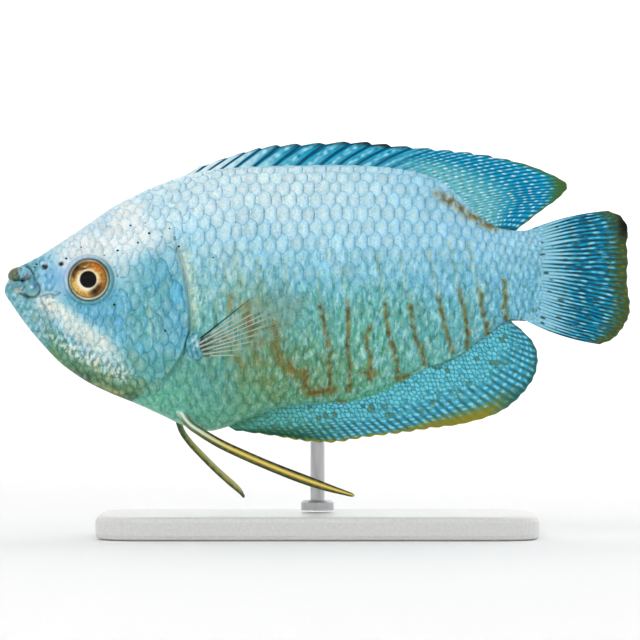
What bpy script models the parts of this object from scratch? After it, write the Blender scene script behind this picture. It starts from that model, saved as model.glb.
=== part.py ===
# Dwarf gourami, an adult male of the powder-blue form, as a life-size still model on a display stand.
# Metres, +Z up. The head points to -X, the left flank faces -Y, and the origin is under the middle of the
# model's box, on the floor.

import math

import bmesh
import bpy
from mathutils import Matrix, Vector

MM = 0.001

# Driving sizes. All lengths here are in millimetres. On the fish, x runs back from the tip of the lower lip,
# z up from it, and y from the middle plane to the fish's right.
TOTAL_LENGTH = 80.0
LIFT = 31.5  # from the floor up to the lower lip
GAP = 0.3  # between pieces that touch
BASE_LENGTH, BASE_WIDTH, BASE_HEIGHT = 56.0, 30.0, 3.0
BASE_CORNER, BASE_BEVEL = 6.0, 0.7
ROD_RADIUS, ROD_X, ROD_Y, ROD_DEPTH = 0.9, 40.0, 2.1, 7.5  # depth: how far it runs up inside the trunk
COLLAR_RADIUS, COLLAR_HEIGHT, ROD_BEVEL = 2.1, 1.3, 0.3

# Outline of the body without its fins, seen from the side: (x, z).
BACK = [
    (0.1, 0.5), (0.6, 1.5), (1.6, 2.75), (3.0, 3.55), (4.6, 4.4), (7.6, 6.4), (10.7, 8.45), (13.8, 10.6),
    (16.8, 12.15), (19.9, 13.55), (24.5, 15.1), (29.0, 15.65), (33.2, 15.9), (38.0, 16.0), (43.0, 16.1),
    (48.0, 15.9), (52.6, 15.3), (55.7, 14.1), (58.2, 12.2), (60.5, 9.9), (62.3, 8.4), (64.4, 7.7),
    (66.2, 7.6),
]
BELLY = [
    (0.1, -0.6), (0.6, -1.35), (1.5, -2.7), (3.0, -4.75), (4.6, -6.65), (6.1, -8.3), (7.6, -9.7),
    (10.7, -11.8), (13.8, -13.3), (16.8, -14.5), (19.9, -15.9), (22.9, -17.3), (25.6, -18.0), (27.8, -17.7),
    (31.4, -16.4), (34.6, -15.3), (38.0, -14.8), (43.0, -14.4), (47.4, -13.2), (50.5, -11.7), (54.4, -10.1),
    (58.5, -8.3), (61.9, -5.4), (63.9, -4.1), (66.2, -3.95),
]
# Half width at the widest level, (x, y), and that level, (x, z).
HALF_WIDTH = [
    (0.1, 0.75), (0.6, 1.0), (1.5, 1.4), (3.0, 1.9), (5.0, 2.4), (7.7, 3.05), (10.9, 3.75), (14.8, 4.5),
    (18.6, 5.1), (23.0, 5.6), (28.0, 5.85), (34.0, 5.7), (40.0, 5.2), (47.0, 4.4), (53.0, 3.5), (58.0, 2.7),
    (62.0, 2.05), (64.5, 1.65), (66.2, 1.35),
]
WIDEST = [(0.1, 0.0), (3.0, -0.4), (7.7, -1.2), (12.0, -1.6), (18.0, -1.2), (25.0, -0.4), (34.0, 0.4),
          (47.0, 1.2), (66.2, 1.85)]
# How full the section is above and below that level: 2 is an ellipse, less is a wedge, more is a box.
FULL_ABOVE = [(0.1, 2.0), (10.0, 1.8), (20.0, 1.85), (45.0, 1.8), (60.0, 1.9), (66.2, 2.0)]
FULL_BELOW = [(0.1, 2.0), (10.0, 2.0), (18.0, 2.3), (26.0, 2.5), (34.0, 1.9), (45.0, 1.6), (58.0, 1.6),
              (66.2, 2.0)]

BODY_START, NECK, BODY_END = 0.1, 23.1, 66.2
HEAD_STATIONS, TRUNK_STATIONS, AROUND = 30, 26, 32  # the body's mesh
NOSE_CROWDING = 1.25  # above 1, the stations lie closer towards the nose

# Where the body is parted, as the line of each thin cut: (x, z). The far values lie well clear of the fish.
GILL_SLIT = [(19.4, 16.0), (19.8, 13.2), (20.8, 8.7), (21.9, 5.4), (22.7, 2.8), (23.3, -0.3), (23.6, -2.8),
             (23.6, -5.1), (22.9, -7.9), (21.3, -10.3), (18.8, -12.6), (16.4, -14.1), (15.6, -17.0)]
TAIL_CUT = 61.7
MOUTH_LINE = [(-1.5, 0.25), (0.0, 0.4), (0.7, 0.7), (1.35, 1.1), (2.05, 1.4), (2.65, 1.3), (2.78, 0.75),
              (2.58, 0.1), (2.68, -0.5), (3.13, -0.93), (3.83, -1.08), (4.6, -1.0), (5.15, -1.5),
              (5.45, -2.3), (5.45, -3.2), (4.92, -4.75), (4.1, -6.9)]
FAR_AHEAD, FAR_BEHIND, FAR_ABOVE, FAR_BELOW, FAR_SIDE = -6.0, 90.0, 24.0, -30.0, 12.0
BELOW_CHIN = -12.0

EYE_X, EYE_Z, EYE_RADIUS = 10.85, 1.25, 2.65
EYE_HALF_DEPTH, EYE_SUNK = 1.15, 0.35  # of the eyeball, and how deep its middle lies under the skin
EYE_RIM_RADIUS, EYE_RIM_THICKNESS = 3.02, 0.3
NOSTRILS = [(5.1, 3.0, 0.34), (7.3, 3.35, 0.42)]  # (x, z, radius)
NOSTRIL_DEPTH = 0.7

# Lips, as (x, y, z, radius) from the middle plane out to the corner on the fish's right.
UPPER_LIP = [(1.2, 0.0, 1.75, 0.78), (1.55, 0.85, 1.85, 0.76), (2.2, 1.35, 1.85, 0.64),
             (2.9, 1.72, 1.7, 0.52), (3.45, 1.95, 1.5, 0.28)]
LOWER_LIP = [(0.38, 0.0, -0.1, 0.4), (0.7, 0.72, 0.12, 0.36), (1.3, 1.2, 0.55, 0.36),
             (1.95, 1.5, 0.85, 0.34), (2.35, 1.68, 0.5, 0.28), (2.3, 1.75, -0.05, 0.16)]
JAW_KNOB, JAW_KNOB_RADII = (3.62, 0.08), (0.92, 0.5, 0.92)  # the end of the upper jaw, (x, z)

# The gill cover's plate, round its own middle: (x, z).
GILL_COVER = [(21.2, 4.6), (22.2, 3.5), (22.8, 1.7), (23.0, -0.5), (23.15, -2.9), (23.1, -5.1), (22.4, -7.7),
              (20.9, -10.0), (18.7, -11.9), (16.9, -12.6), (17.2, -10.8), (18.0, -8.2), (18.5, -5.0),
              (18.6, -1.5), (18.9, 1.6), (19.6, 3.9)]
GILL_COVER_MIDDLE = (20.8, -4.0)
GILL_COVER_THICKNESS, GILL_COVER_LIFT = 0.85, 0.22
GILL_COVER_RINGS, GILL_COVER_SIDES = 4, 30

# Fins, each as the roots of its rays along the body and their tips, from the first ray to the last: (x, z).
DORSAL_ROOTS = [(23.5, 14.9), (26.5, 15.4), (29.7, 15.6), (34.6, 15.9), (40.3, 16.0), (44.8, 16.05),
                (49.3, 15.8), (52.4, 15.3), (55.1, 14.3), (57.2, 12.9), (58.6, 11.6), (59.8, 10.5),
                (60.8, 9.2), (61.8, 7.6)]
DORSAL_TIPS = [(24.9, 15.8), (30.1, 17.5), (34.2, 18.5), (39.3, 18.8), (45.4, 19.0), (50.3, 18.5),
               (55.6, 18.0), (60.5, 17.45), (65.2, 16.5), (69.0, 15.2), (71.9, 13.55), (71.0, 11.9),
               (68.6, 10.1), (65.2, 7.4)]
DORSAL_SPINES, DORSAL_SOFT_RAYS, DORSAL_NOTCH = 16, 10, 0.65
ANAL_ROOTS = [(28.4, -17.3), (31.6, -16.1), (34.8, -15.15), (38.1, -14.7), (41.6, -14.5), (45.0, -13.8),
              (48.5, -12.5), (52.1, -10.95), (55.9, -9.5), (58.7, -8.1), (61.0, -6.2), (62.4, -4.9),
              (63.5, -4.2)]
ANAL_TIPS = [(29.6, -18.0), (34.6, -18.7), (38.4, -19.35), (42.2, -19.5), (46.2, -18.85), (50.3, -18.35),
             (54.6, -17.7), (58.9, -17.05), (63.3, -15.6), (66.3, -13.15), (68.0, -10.2), (67.7, -6.9),
             (64.5, -3.6)]
ANAL_SPINES, ANAL_SOFT_RAYS, ANAL_NOTCH = 16, 14, 0.3
TAIL_ROOTS = [(66.5, 7.5), (66.5, 4.7), (66.5, 1.85), (66.5, -1.0), (66.5, -3.85)]
TAIL_TIPS = [(77.2, 10.15), (78.9, 9.4), (79.75, 7.8), (79.6, 5.9), (79.75, 4.0), (79.65, 2.0), (79.75, 0.0),
             (80.0, -1.7), (79.9, -3.2), (79.4, -4.3), (78.6, -5.5), (77.6, -6.4), (76.1, -6.95)]
TAIL_RAYS, TAIL_NOTCH = 15, 0.14
TAIL_ROOT_TAPER, TAIL_ROOT_CURVE = 4.5, 1.5  # how the tail fin thins down from the tail stalk
SOFT_NOTCH = 0.12  # between the soft rays of the dorsal and anal fins
PECTORAL_ROOTS = [(25.5, -5.9), (25.7, -6.7), (25.85, -7.5), (25.9, -8.4)]
PECTORAL_TIPS = [(32.0, -0.8), (35.0, -0.35), (38.2, -0.3), (39.6, -0.9), (38.6, -2.9), (36.6, -4.9),
                 (34.2, -6.7), (31.8, -8.2)]
PECTORAL_RAYS, PECTORAL_NOTCH, PECTORAL_SINK = 10, 0.25, 0.6
PECTORAL_CLEAR, PECTORAL_SPREAD = 0.8, 2.4  # how far its middle stands off the flank, at the root and more
PECTORAL_LOBE, PECTORAL_LOBE_RADII = (25.0, -7.15), (1.2, 0.9, 1.6)
# Where the points of a ray lie, as shares of its length.
MEDIAN_ROWS, TAIL_ROWS, PECTORAL_ROWS = [0.22, 0.55, 0.85, 1.0], [0.12, 0.3, 0.6, 0.85, 1.0], [0.33, 0.7, 1.0]

RAY_HALF, WEB_HALF, TIP_HALF = 0.46, 0.26, 0.2  # half thicknesses of a ray, of the web and of a fin's edge
RAY_TIP_HALF, THINNING_FROM = 0.25, 0.6  # of a ray's tip, and the share of its length from which it thins
SHEATH_HALF, SHEATH_REACH = 0.3, 0.22  # the scaly sheath along a fin's root, and the share that it covers
WEB_SHARE = 0.34  # from a ray to the flat of the web, as a share of the way to the next ray
FIN_SINK = 1.1  # how far a fin's sheet starts inside the body, before the body is cut away from it
# How far each fin's edge leans to the fish's right, and how far the middle of its rays bows out.
DORSAL_SWAY, ANAL_SWAY, TAIL_SWAY = 0.35, -0.3, 0.7
DORSAL_BOW, ANAL_BOW, TAIL_BOW = 0.35, -0.3, 0.45

# Feelers, the thread-like pelvic fins: the middle line, (x, y, z), then the half height and half width.
LEFT_FEELER = [(21.9, -2.0, -14.4), (23.4, -2.75, -16.8), (25.3, -3.05, -18.2), (27.8, -3.3, -19.65),
               (30.7, -3.5, -21.0), (34.1, -3.75, -22.45), (37.8, -3.95, -23.9), (41.4, -4.1, -25.15),
               (44.7, -4.2, -26.15)]
RIGHT_FEELER = [(21.7, 2.0, -14.6), (22.4, 2.9, -17.6), (23.4, 3.6, -19.3), (24.8, 4.7, -20.9),
                (26.8, 6.3, -23.0), (28.4, 7.6, -24.5), (29.9, 8.8, -25.9), (30.5, 9.6, -26.8)]
FEELER_SIZES = [(0.5, 0.42), (0.55, 0.42), (0.6, 0.4), (0.62, 0.36), (0.6, 0.32), (0.28, 0.22)]

COLOURS = {  # colour, roughness, metallic
    "skin": ((0.42, 0.72, 0.78, 1), 0.35, 0.15),
    "fin": ((0.10, 0.48, 0.62, 1), 0.4, 0.1),
    "feeler": ((0.72, 0.60, 0.22, 1), 0.4, 0.0),
    "eye": ((0.80, 0.42, 0.10, 1), 0.1, 0.3),
    "base": ((0.86, 0.86, 0.85, 1), 0.35, 0.0),
    "rod": ((0.62, 0.62, 0.63, 1), 0.3, 1.0),
}
SHARP_ANGLE = math.radians(40)


def material(name):
    found = bpy.data.materials.get(name)
    if found:
        return found
    colour, roughness, metallic = COLOURS[name]
    made = bpy.data.materials.new(name)
    made.use_nodes = True
    shader = made.node_tree.nodes["Principled BSDF"]
    shader.inputs["Base Color"].default_value = colour
    shader.inputs["Roughness"].default_value = roughness
    shader.inputs["Metallic"].default_value = metallic
    return made


def place(x, y, z):
    """A point of the fish, in its own millimetres, as a place in the model."""
    return Vector(((x - TOTAL_LENGTH / 2) * MM, y * MM, (z + LIFT) * MM))


# Smooth curves and the form of the body


def curve_value(points, x):
    """A smooth curve through (x, value) points, read at x."""
    last = len(points) - 1
    x = min(max(x, points[0][0]), points[last][0])
    i = 0
    while i < last - 1 and x > points[i + 1][0]:
        i += 1

    def slope(k):
        low, high = max(k - 1, 0), min(k + 1, last)
        return (points[high][1] - points[low][1]) / (points[high][0] - points[low][0])

    (x0, v0), (x1, v1) = points[i], points[i + 1]
    span = x1 - x0
    t = (x - x0) / span
    return (
        v0 * (2 * t**3 - 3 * t**2 + 1)
        + v1 * (3 * t**2 - 2 * t**3)
        + slope(i) * span * (t**3 - 2 * t**2 + t)
        + slope(i + 1) * span * (t**3 - t**2)
    )


def along(points, t):
    """A point of a smooth line through points of any size, at the share t of its points."""
    at = t * (len(points) - 1)
    return tuple(curve_value([(k, p[a]) for k, p in enumerate(points)], at) for a in range(len(points[0])))


def half_width(x, z):
    """How far the flank stands out from the middle plane at a place seen from the side."""
    top, bottom, level = curve_value(BACK, x), curve_value(BELLY, x), curve_value(WIDEST, x)
    above = z > level
    reach = (top - level) if above else (level - bottom)
    fullness = curve_value(FULL_ABOVE if above else FULL_BELOW, x)
    share = min(abs(z - level) / reach, 1.0)
    return curve_value(HALF_WIDTH, x) * math.sqrt(1 - share**fullness)


def skin_point(side, x, z):
    return Vector((x, side * half_width(x, z), z))


def skin_normal(side, x, z):
    """The direction that the flank faces, on one side, at a place seen from the side."""
    step = 0.4
    slope_x = (half_width(x + step, z) - half_width(x - step, z)) / (2 * step)
    slope_z = (half_width(x, z + step) - half_width(x, z - step)) / (2 * step)
    return Vector((-slope_x, side, -slope_z)).normalized()


# Making, cutting and joining solids


def new_object(name, points, faces, slot):
    mesh = bpy.data.meshes.new(name)
    mesh.from_pydata([tuple(p) for p in points], [], faces)
    mesh.materials.append(material(slot))
    work = bmesh.new()
    work.from_mesh(mesh)
    bmesh.ops.recalc_face_normals(work, faces=work.faces)
    work.to_mesh(mesh)
    work.free()
    made = bpy.data.objects.new(name, mesh)
    bpy.context.scene.collection.objects.link(made)
    return made


def stacked_rings(name, rings, slot):
    """A closed solid through rings of the same number of points, with flat ends."""
    count = len(rings[0])
    faces = []
    for i in range(len(rings) - 1):
        for k in range(count):
            n = (k + 1) % count
            faces.append((i * count + k, i * count + n, (i + 1) * count + n, (i + 1) * count + k))
    faces.append(tuple(reversed(range(count))))
    faces.append(tuple(range((len(rings) - 1) * count, len(rings) * count)))
    return new_object(name, [p for ring in rings for p in ring], faces, slot)


def side_prism(name, outline):
    """A slab across the whole fish with this outline, (x, z), seen from the side."""
    ends = [[place(x, side * FAR_SIDE, z) for x, z in outline] for side in (-1, 1)]
    return stacked_rings(name, ends, "skin")


def shifted(line, distance):
    """A line moved sideways by distance, to its right as seen along it from -Y."""
    moved = []
    for i, (x, z) in enumerate(line):
        (xa, za), (xb, zb) = line[max(i - 1, 0)], line[min(i + 1, len(line) - 1)]
        size = math.hypot(xb - xa, zb - za)
        moved.append((x + distance * (zb - za) / size, z - distance * (xb - xa) / size))
    return moved


def ellipsoid(name, middle, radii, slot, across, down, pole=Vector((0, 1, 0))):
    """A rounded solid about a point of the fish. radii are along its right, its pole and its up."""
    right = pole.cross(Vector((0, 0, 1))).normalized()
    up = right.cross(pole)

    def point(tilt, turn):
        offset = right * (radii[0] * math.sin(tilt) * math.cos(turn))
        offset += up * (radii[2] * math.sin(tilt) * math.sin(turn)) - pole * (radii[1] * math.cos(tilt))
        return place(*(Vector(middle) + offset))

    rows = [math.pi * i / down for i in range(1, down)]
    points = [point(0, 0)]
    points += [point(tilt, math.tau * k / across) for tilt in rows for k in range(across)]
    points.append(point(math.pi, 0))
    last = len(points) - 1
    faces = []
    for k in range(across):
        n = (k + 1) % across
        faces.append((0, 1 + n, 1 + k))
        faces.append((last, last - across + k, last - across + n))
        for row in range(1, last - across, across):
            faces.append((row + k, row + n, row + across + n, row + across + k))
    return new_object(name, points, faces, slot)


def tube(name, line, sizes, slot, stations, sides):
    """A rod along a smooth line of (x, y, z) points, with sizes of (half height, half width) along it."""
    rings = []
    up = Vector((0, 0.3, 1))
    for i in range(stations):
        t = i / (stations - 1)
        ahead = Vector(along(line, min(t + 0.01, 1.0))) - Vector(along(line, max(t - 0.01, 0.0)))
        ahead.normalize()
        up = (up - ahead * up.dot(ahead)).normalized()
        out = ahead.cross(up)
        high, wide = along(sizes, t)
        ring = []
        for k in range(sides):
            turn = math.tau * k / sides
            offset = up * (high * math.sin(turn)) + out * (wide * math.cos(turn))
            ring.append(place(*(Vector(along(line, t)) + offset)))
        rings.append(ring)
    return stacked_rings(name, rings, slot)


def applied(obj):
    """Applies an object's modifiers."""
    graph = bpy.context.evaluated_depsgraph_get()
    mesh = bpy.data.meshes.new_from_object(obj.evaluated_get(graph))
    obj.modifiers.clear()
    spent, obj.data = obj.data, mesh
    bpy.data.meshes.remove(spent)
    return obj


def remove(*objects):
    for obj in objects:
        bpy.data.objects.remove(obj)


def copied(obj, name):
    made = obj.copy()
    made.data = obj.data.copy()
    made.name = name
    bpy.context.scene.collection.objects.link(made)
    return made


def grown(obj, name, distance):
    """A copy of a solid, larger by distance all over, as a cutter that leaves a gap."""
    made = copied(obj, name)
    normals = [vertex.normal.copy() for vertex in made.data.vertices]
    for vertex, normal in zip(made.data.vertices, normals):
        vertex.co += normal * distance * MM
    return made


def combine(target, other, operation, solver="EXACT"):
    modifier = target.modifiers.new("combine", "BOOLEAN")
    modifier.operation = operation
    modifier.object = other
    modifier.solver = solver
    return applied(target)


def fuse(target, pieces):
    """One union of a node's pieces, which are then removed."""
    group = bpy.data.collections.new("pieces")
    bpy.context.scene.collection.children.link(group)
    for piece in pieces:
        group.objects.link(piece)
    modifier = target.modifiers.new("fuse", "BOOLEAN")
    modifier.operation = "UNION"
    modifier.operand_type = "COLLECTION"
    modifier.collection = group
    modifier.solver = "MANIFOLD"
    applied(target)
    remove(*pieces)
    bpy.data.collections.remove(group)
    return target


def keep_largest(obj):
    """Drops all but the largest closed surface."""
    work = bmesh.new()
    work.from_mesh(obj.data)
    left, islands = set(work.verts), []
    while left:
        island, edge = set(), [left.pop()]
        while edge:
            vertex = edge.pop()
            island.add(vertex)
            for link in vertex.link_edges:
                other = link.other_vert(vertex)
                if other in left:
                    left.discard(other)
                    edge.append(other)
        islands.append(island)
    islands.sort(key=len)
    for island in islands[:-1]:
        bmesh.ops.delete(work, geom=list(island), context="VERTS")
    work.to_mesh(obj.data)
    work.free()
    return obj


# The body and the head


def body_ring(x):
    """The body's section at x, as points right round it."""
    top, bottom, level = curve_value(BACK, x), curve_value(BELLY, x), curve_value(WIDEST, x)
    ring = []
    for k in range(AROUND):
        turn = math.tau * k / AROUND
        rise = math.sin(turn)
        z = level + rise * ((top - level) if rise > 0 else (level - bottom))
        side = 1 if math.cos(turn) >= 0 else -1
        ring.append(place(*skin_point(side, x, z)))
    return ring


def whole_body(name):
    head, trunk = NECK - BODY_START, BODY_END - NECK
    stations = [BODY_START + head * (i / HEAD_STATIONS) ** NOSE_CROWDING for i in range(HEAD_STATIONS)]
    stations += [NECK + trunk * i / TRUNK_STATIONS for i in range(TRUNK_STATIONS + 1)]
    return stacked_rings(name, [body_ring(x) for x in stations], "skin")


def body_part(body, name, outline):
    """The part of the body inside an outline, (x, z), seen from the side."""
    region = side_prism("region", outline)
    made = combine(copied(body, name), region, "INTERSECT")
    remove(region)
    return made


def lip(name, half_line):
    """A lip round the front of a jaw, from one corner of the mouth to the other."""
    whole = [(x, -y, z, r) for x, y, z, r in reversed(half_line)] + half_line[1:]
    line = [(x, y, z) for x, y, z, r in whole]
    return tube(name, line, [(r, r) for x, y, z, r in whole], "skin", 17, 10)


def eyeball(name, side, margin=0.0):
    """One eye, flat against the head. With a margin it is the cutter for its socket."""
    facing = skin_normal(side, EYE_X, EYE_Z)
    middle = skin_point(side, EYE_X, EYE_Z) - facing * EYE_SUNK
    radius = EYE_RADIUS + margin
    return ellipsoid(name, middle, (radius, EYE_HALF_DEPTH + margin, radius), "eye", 24, 10, facing)


def eye_rim(side, count=24, sides=6):
    """A ring of skin round the eye, lying on the head."""
    facing = skin_normal(side, EYE_X, EYE_Z)
    right = facing.cross(Vector((0, 0, 1))).normalized()
    up = right.cross(facing)
    points, faces = [], []
    for i in range(count):
        turn = math.tau * i / count
        outward = right * math.cos(turn) + up * math.sin(turn)
        x, _, z = skin_point(side, EYE_X, EYE_Z) + outward * EYE_RIM_RADIUS
        middle = skin_point(side, x, z)
        for k in range(sides):
            roll = math.tau * k / sides
            offset = outward * math.cos(roll) + facing * math.sin(roll)
            points.append(place(*(middle + offset * EYE_RIM_THICKNESS)))
            j, n = (i + 1) % count, (k + 1) % sides
            faces.append((i * sides + k, i * sides + n, j * sides + n, j * sides + k))
    return new_object("eye_rim", points, faces, "skin")


def nostril(side, x, z, radius):
    radii = (radius, NOSTRIL_DEPTH, radius)
    return ellipsoid("nostril", skin_point(side, x, z), radii, "skin", 8, 6, skin_normal(side, x, z))


def jaw_knob(side):
    return ellipsoid("jaw_knob", skin_point(side, *JAW_KNOB), JAW_KNOB_RADII, "skin", 12, 8)


def cover_plate(name, side, margin=0.0):
    """The gill cover, a thin plate that follows the cheek and lifts towards its rear edge.

    With a margin it is the cutter for its seat.
    """
    mid_x, mid_z = GILL_COVER_MIDDLE
    count = GILL_COVER_SIDES
    rim = [along(GILL_COVER + GILL_COVER[:1], k / count) for k in range(count)]
    front, back = min(x for x, z in rim), max(x for x, z in rim)
    outer, inner = [], []
    for ring in range(GILL_COVER_RINGS + 1):
        for x_rim, z_rim in rim if ring else rim[:1]:
            size = math.hypot(x_rim - mid_x, z_rim - mid_z)
            share = (ring / GILL_COVER_RINGS) * (size + margin) / size
            x, z = mid_x + (x_rim - mid_x) * share, mid_z + (z_rim - mid_z) * share
            face = half_width(x, z)
            lift = GILL_COVER_LIFT * min(max((x - front) / (back - front), 0), 1)
            outer.append(place(x, side * (face + (2.0 if margin else lift)), z))
            inner.append(place(x, side * (face - GILL_COVER_THICKNESS - margin), z))
    total = len(outer)
    faces = []
    for base in (0, total):
        for k in range(count):
            n = (k + 1) % count
            faces.append((base, base + 1 + k, base + 1 + n))
            for ring in range(GILL_COVER_RINGS - 1):
                a, b = base + 1 + ring * count, base + 1 + (ring + 1) * count
                faces += [(a + k, b + k, b + n), (a + k, b + n, a + n)]
    edge = 1 + (GILL_COVER_RINGS - 1) * count
    for k in range(count):
        n = (k + 1) % count
        faces.append((edge + k, total + edge + k, total + edge + n, edge + n))
    return new_object(name, outer + inner, faces, "skin")


def head_and_jaw(body):
    """The head and the lower jaw, parted along the mouth, with lips, nostrils and the sockets of the eyes."""
    ahead = [(FAR_AHEAD, FAR_BELOW), (FAR_AHEAD, FAR_ABOVE)]
    head = body_part(body, "head", shifted(GILL_SLIT, GAP / 2) + ahead)
    relief = [lip("upper_lip", UPPER_LIP), lip("lower_lip", LOWER_LIP)]
    for side in (-1, 1):
        relief += [jaw_knob(side), eye_rim(side)]
    fuse(head, relief)
    chin = [(FAR_AHEAD, BELOW_CHIN), (FAR_AHEAD, MOUTH_LINE[0][1])]
    jaw_region = side_prism("jaw_region", shifted(MOUTH_LINE, GAP / 2) + chin)
    mouth_region = side_prism("mouth_region", shifted(MOUTH_LINE, -GAP / 2) + chin)
    jaw = combine(copied(head, "lower_jaw"), jaw_region, "INTERSECT", "MANIFOLD")
    combine(head, mouth_region, "DIFFERENCE", "MANIFOLD")
    remove(jaw_region, mouth_region)
    for side in (-1, 1):
        cutters = [eyeball("socket", side, GAP), cover_plate("seat", side, GAP)]
        cutters += [nostril(side, x, z, radius) for x, z, radius in NOSTRILS]
        for cutter in cutters:
            combine(head, cutter, "DIFFERENCE", "MANIFOLD")
        remove(*cutters)
    keep_largest(head)
    keep_largest(jaw)


def trunk_and_tail_stalk(body):
    behind = [(FAR_BEHIND, FAR_BELOW), (FAR_BEHIND, FAR_ABOVE)]
    ends = [(TAIL_CUT - GAP / 2, FAR_BELOW), (TAIL_CUT - GAP / 2, FAR_ABOVE)]
    trunk = body_part(body, "trunk", shifted(GILL_SLIT, -GAP / 2) + ends)
    bore = rod("bore", GAP)
    combine(trunk, bore, "DIFFERENCE")
    remove(bore)
    keep_largest(trunk)
    starts = [(TAIL_CUT + GAP / 2, FAR_ABOVE), (TAIL_CUT + GAP / 2, FAR_BELOW)]
    keep_largest(body_part(body, "tail_stalk", starts + behind))


# Fins and feelers


def fin(name, roots, tips, columns, rows, middle, thickness, bow=lambda across: 0.0):
    """A thin sheet with a column of points for each place across it, both faces split alike.

    columns holds (across, how far the edge is drawn in). rows holds the shares from root to tip, and one
    below 0 is a depth inside the body.
    """
    near, far = [], []
    for across, drawn_in in columns:
        (xr, zr), (xt, zt) = along(roots, across), along(tips, across)
        length = math.hypot(xt - xr, zt - zr)
        for row in rows:
            share = row / length if row < 0 else row * (length - drawn_in) / length
            inner = min(max(share, 0), 1)
            arch = 4 * inner * (1 - inner) * bow(across) / length
            x = xr + (xt - xr) * share - (zt - zr) * arch
            z = zr + (zt - zr) * share + (xt - xr) * arch
            y, half = middle(x, z, inner), thickness(x, z, inner, drawn_in == 0)
            near.append(place(x, y - half, z))
            far.append(place(x, y + half, z))
    wide, high = len(columns), len(rows)
    size = wide * high
    faces = []
    for i in range(wide - 1):
        for j in range(high - 1):
            a, d = i * high + j, (i + 1) * high + j
            b, c = a + 1, d + 1
            faces += [(a, b, c), (a, c, d), (size + a, size + b, size + c), (size + a, size + c, size + d)]
    rim = [i * high for i in range(wide)] + [(wide - 1) * high + j for j in range(1, high)]
    rim += [i * high + high - 1 for i in range(wide - 2, -1, -1)] + list(range(high - 2, 0, -1))
    for a, b in zip(rim, rim[1:] + rim[:1]):
        faces.append((a, b, size + b, size + a))
    return new_object(name, near + far, faces, "fin")


def ray_columns(rays, notch_at):
    """Columns for a row of rays: one on each ray and one on the web to either side of it.

    notch_at gives how far the web is drawn in between two tips. A column on a ray isn't drawn in.
    """
    step = 1 / (rays - 1)
    columns = []
    for ray in range(rays):
        here = ray * step
        if ray:
            columns.append((here - WEB_SHARE * step, notch_at(here)))
        columns.append((here, 0.0))
        if ray < rays - 1:
            columns.append((here + WEB_SHARE * step, notch_at(here)))
    return columns


def ray_half(share, on_ray):
    """Half thickness of a fin: raised on its rays, thinner on the web and thinnest at its edge."""
    edge = max(share - THINNING_FROM, 0) / (1 - THINNING_FROM)
    if on_ray:
        return RAY_HALF * (1 - edge) + RAY_TIP_HALF * edge
    return WEB_HALF * (1 - edge) + TIP_HALF * edge


def sheathed_half(share, on_ray):
    """The same, thicker at the root, where the scales of the body run out onto the fin."""
    return ray_half(share, on_ray) + SHEATH_HALF * max(1 - share / SHEATH_REACH, 0) ** 2


def median_fin(name, roots, tips, spines, soft_rays, notch, sway, bow, clearance):
    """The dorsal or the anal fin, with stiff spines in front and soft rays behind them."""
    total = spines + soft_rays
    made = fin(
        name, roots, tips,
        ray_columns(total, lambda across: notch if across < spines / total else SOFT_NOTCH),
        [-FIN_SINK, 0.0] + MEDIAN_ROWS,
        lambda x, z, share: sway * share**2,
        lambda x, z, share, on_ray: sheathed_half(share, on_ray),
        lambda across: bow * across,
    )
    combine(made, clearance, "DIFFERENCE")
    return keep_largest(made)


def tail_fin(name):
    root_x = TAIL_ROOTS[0][0]

    def half(x, z, share, on_ray):
        left = max(1 - (x - root_x) / TAIL_ROOT_TAPER, 0)
        stalk = half_width(BODY_END, z) * left**TAIL_ROOT_CURVE
        raised = (RAY_HALF - WEB_HALF) / 2 if on_ray and stalk > WEB_HALF else 0
        return max(ray_half(share, on_ray), stalk) + raised

    return fin(
        name, TAIL_ROOTS, TAIL_TIPS,
        ray_columns(TAIL_RAYS, lambda across: TAIL_NOTCH),
        [0.0] + TAIL_ROWS,
        lambda x, z, share: TAIL_SWAY * share**2,
        half,
        lambda across: TAIL_BOW * (1 - 2 * across),
    )


def pectoral_fin(name, side, clearance):
    made = fin(
        name, PECTORAL_ROOTS, PECTORAL_TIPS,
        ray_columns(PECTORAL_RAYS, lambda across: PECTORAL_NOTCH),
        [-PECTORAL_SINK, 0.0] + PECTORAL_ROWS,
        lambda x, z, share: side * (half_width(x, z) + PECTORAL_CLEAR + PECTORAL_SPREAD * share),
        lambda x, z, share, on_ray: ray_half(share, on_ray),
    )
    lobe = ellipsoid("lobe", skin_point(side, *PECTORAL_LOBE), PECTORAL_LOBE_RADII, "fin", 14, 8)
    fuse(made, [lobe])
    combine(made, clearance, "DIFFERENCE")
    return keep_largest(made)


def feeler(name, line, clearance):
    made = tube(name, line, FEELER_SIZES, "feeler", 16, 8)
    combine(made, clearance, "DIFFERENCE")
    return keep_largest(made)


# The display stand


def rod(name, margin=0.0, sides=20):
    """The rod with the collar at its foot. With a margin it is the cutter for its bore."""
    foot = BASE_HEIGHT + GAP
    top = LIFT + curve_value(BELLY, ROD_X) + ROD_DEPTH + margin
    radius, collar = ROD_RADIUS + margin, COLLAR_RADIUS + margin
    outline = [
        (collar, foot), (collar, foot + COLLAR_HEIGHT - ROD_BEVEL),
        (collar - ROD_BEVEL, foot + COLLAR_HEIGHT),
        (radius, foot + COLLAR_HEIGHT), (radius, top - ROD_BEVEL), (radius - ROD_BEVEL, top),
    ]
    rings = []
    for reach, height in outline:
        ring = []
        for k in range(sides):
            turn = math.tau * k / sides
            x, y = ROD_X + reach * math.cos(turn), ROD_Y + reach * math.sin(turn)
            ring.append(place(x, y, height - LIFT))
        rings.append(ring)
    return stacked_rings(name, rings, "rod")


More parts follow.
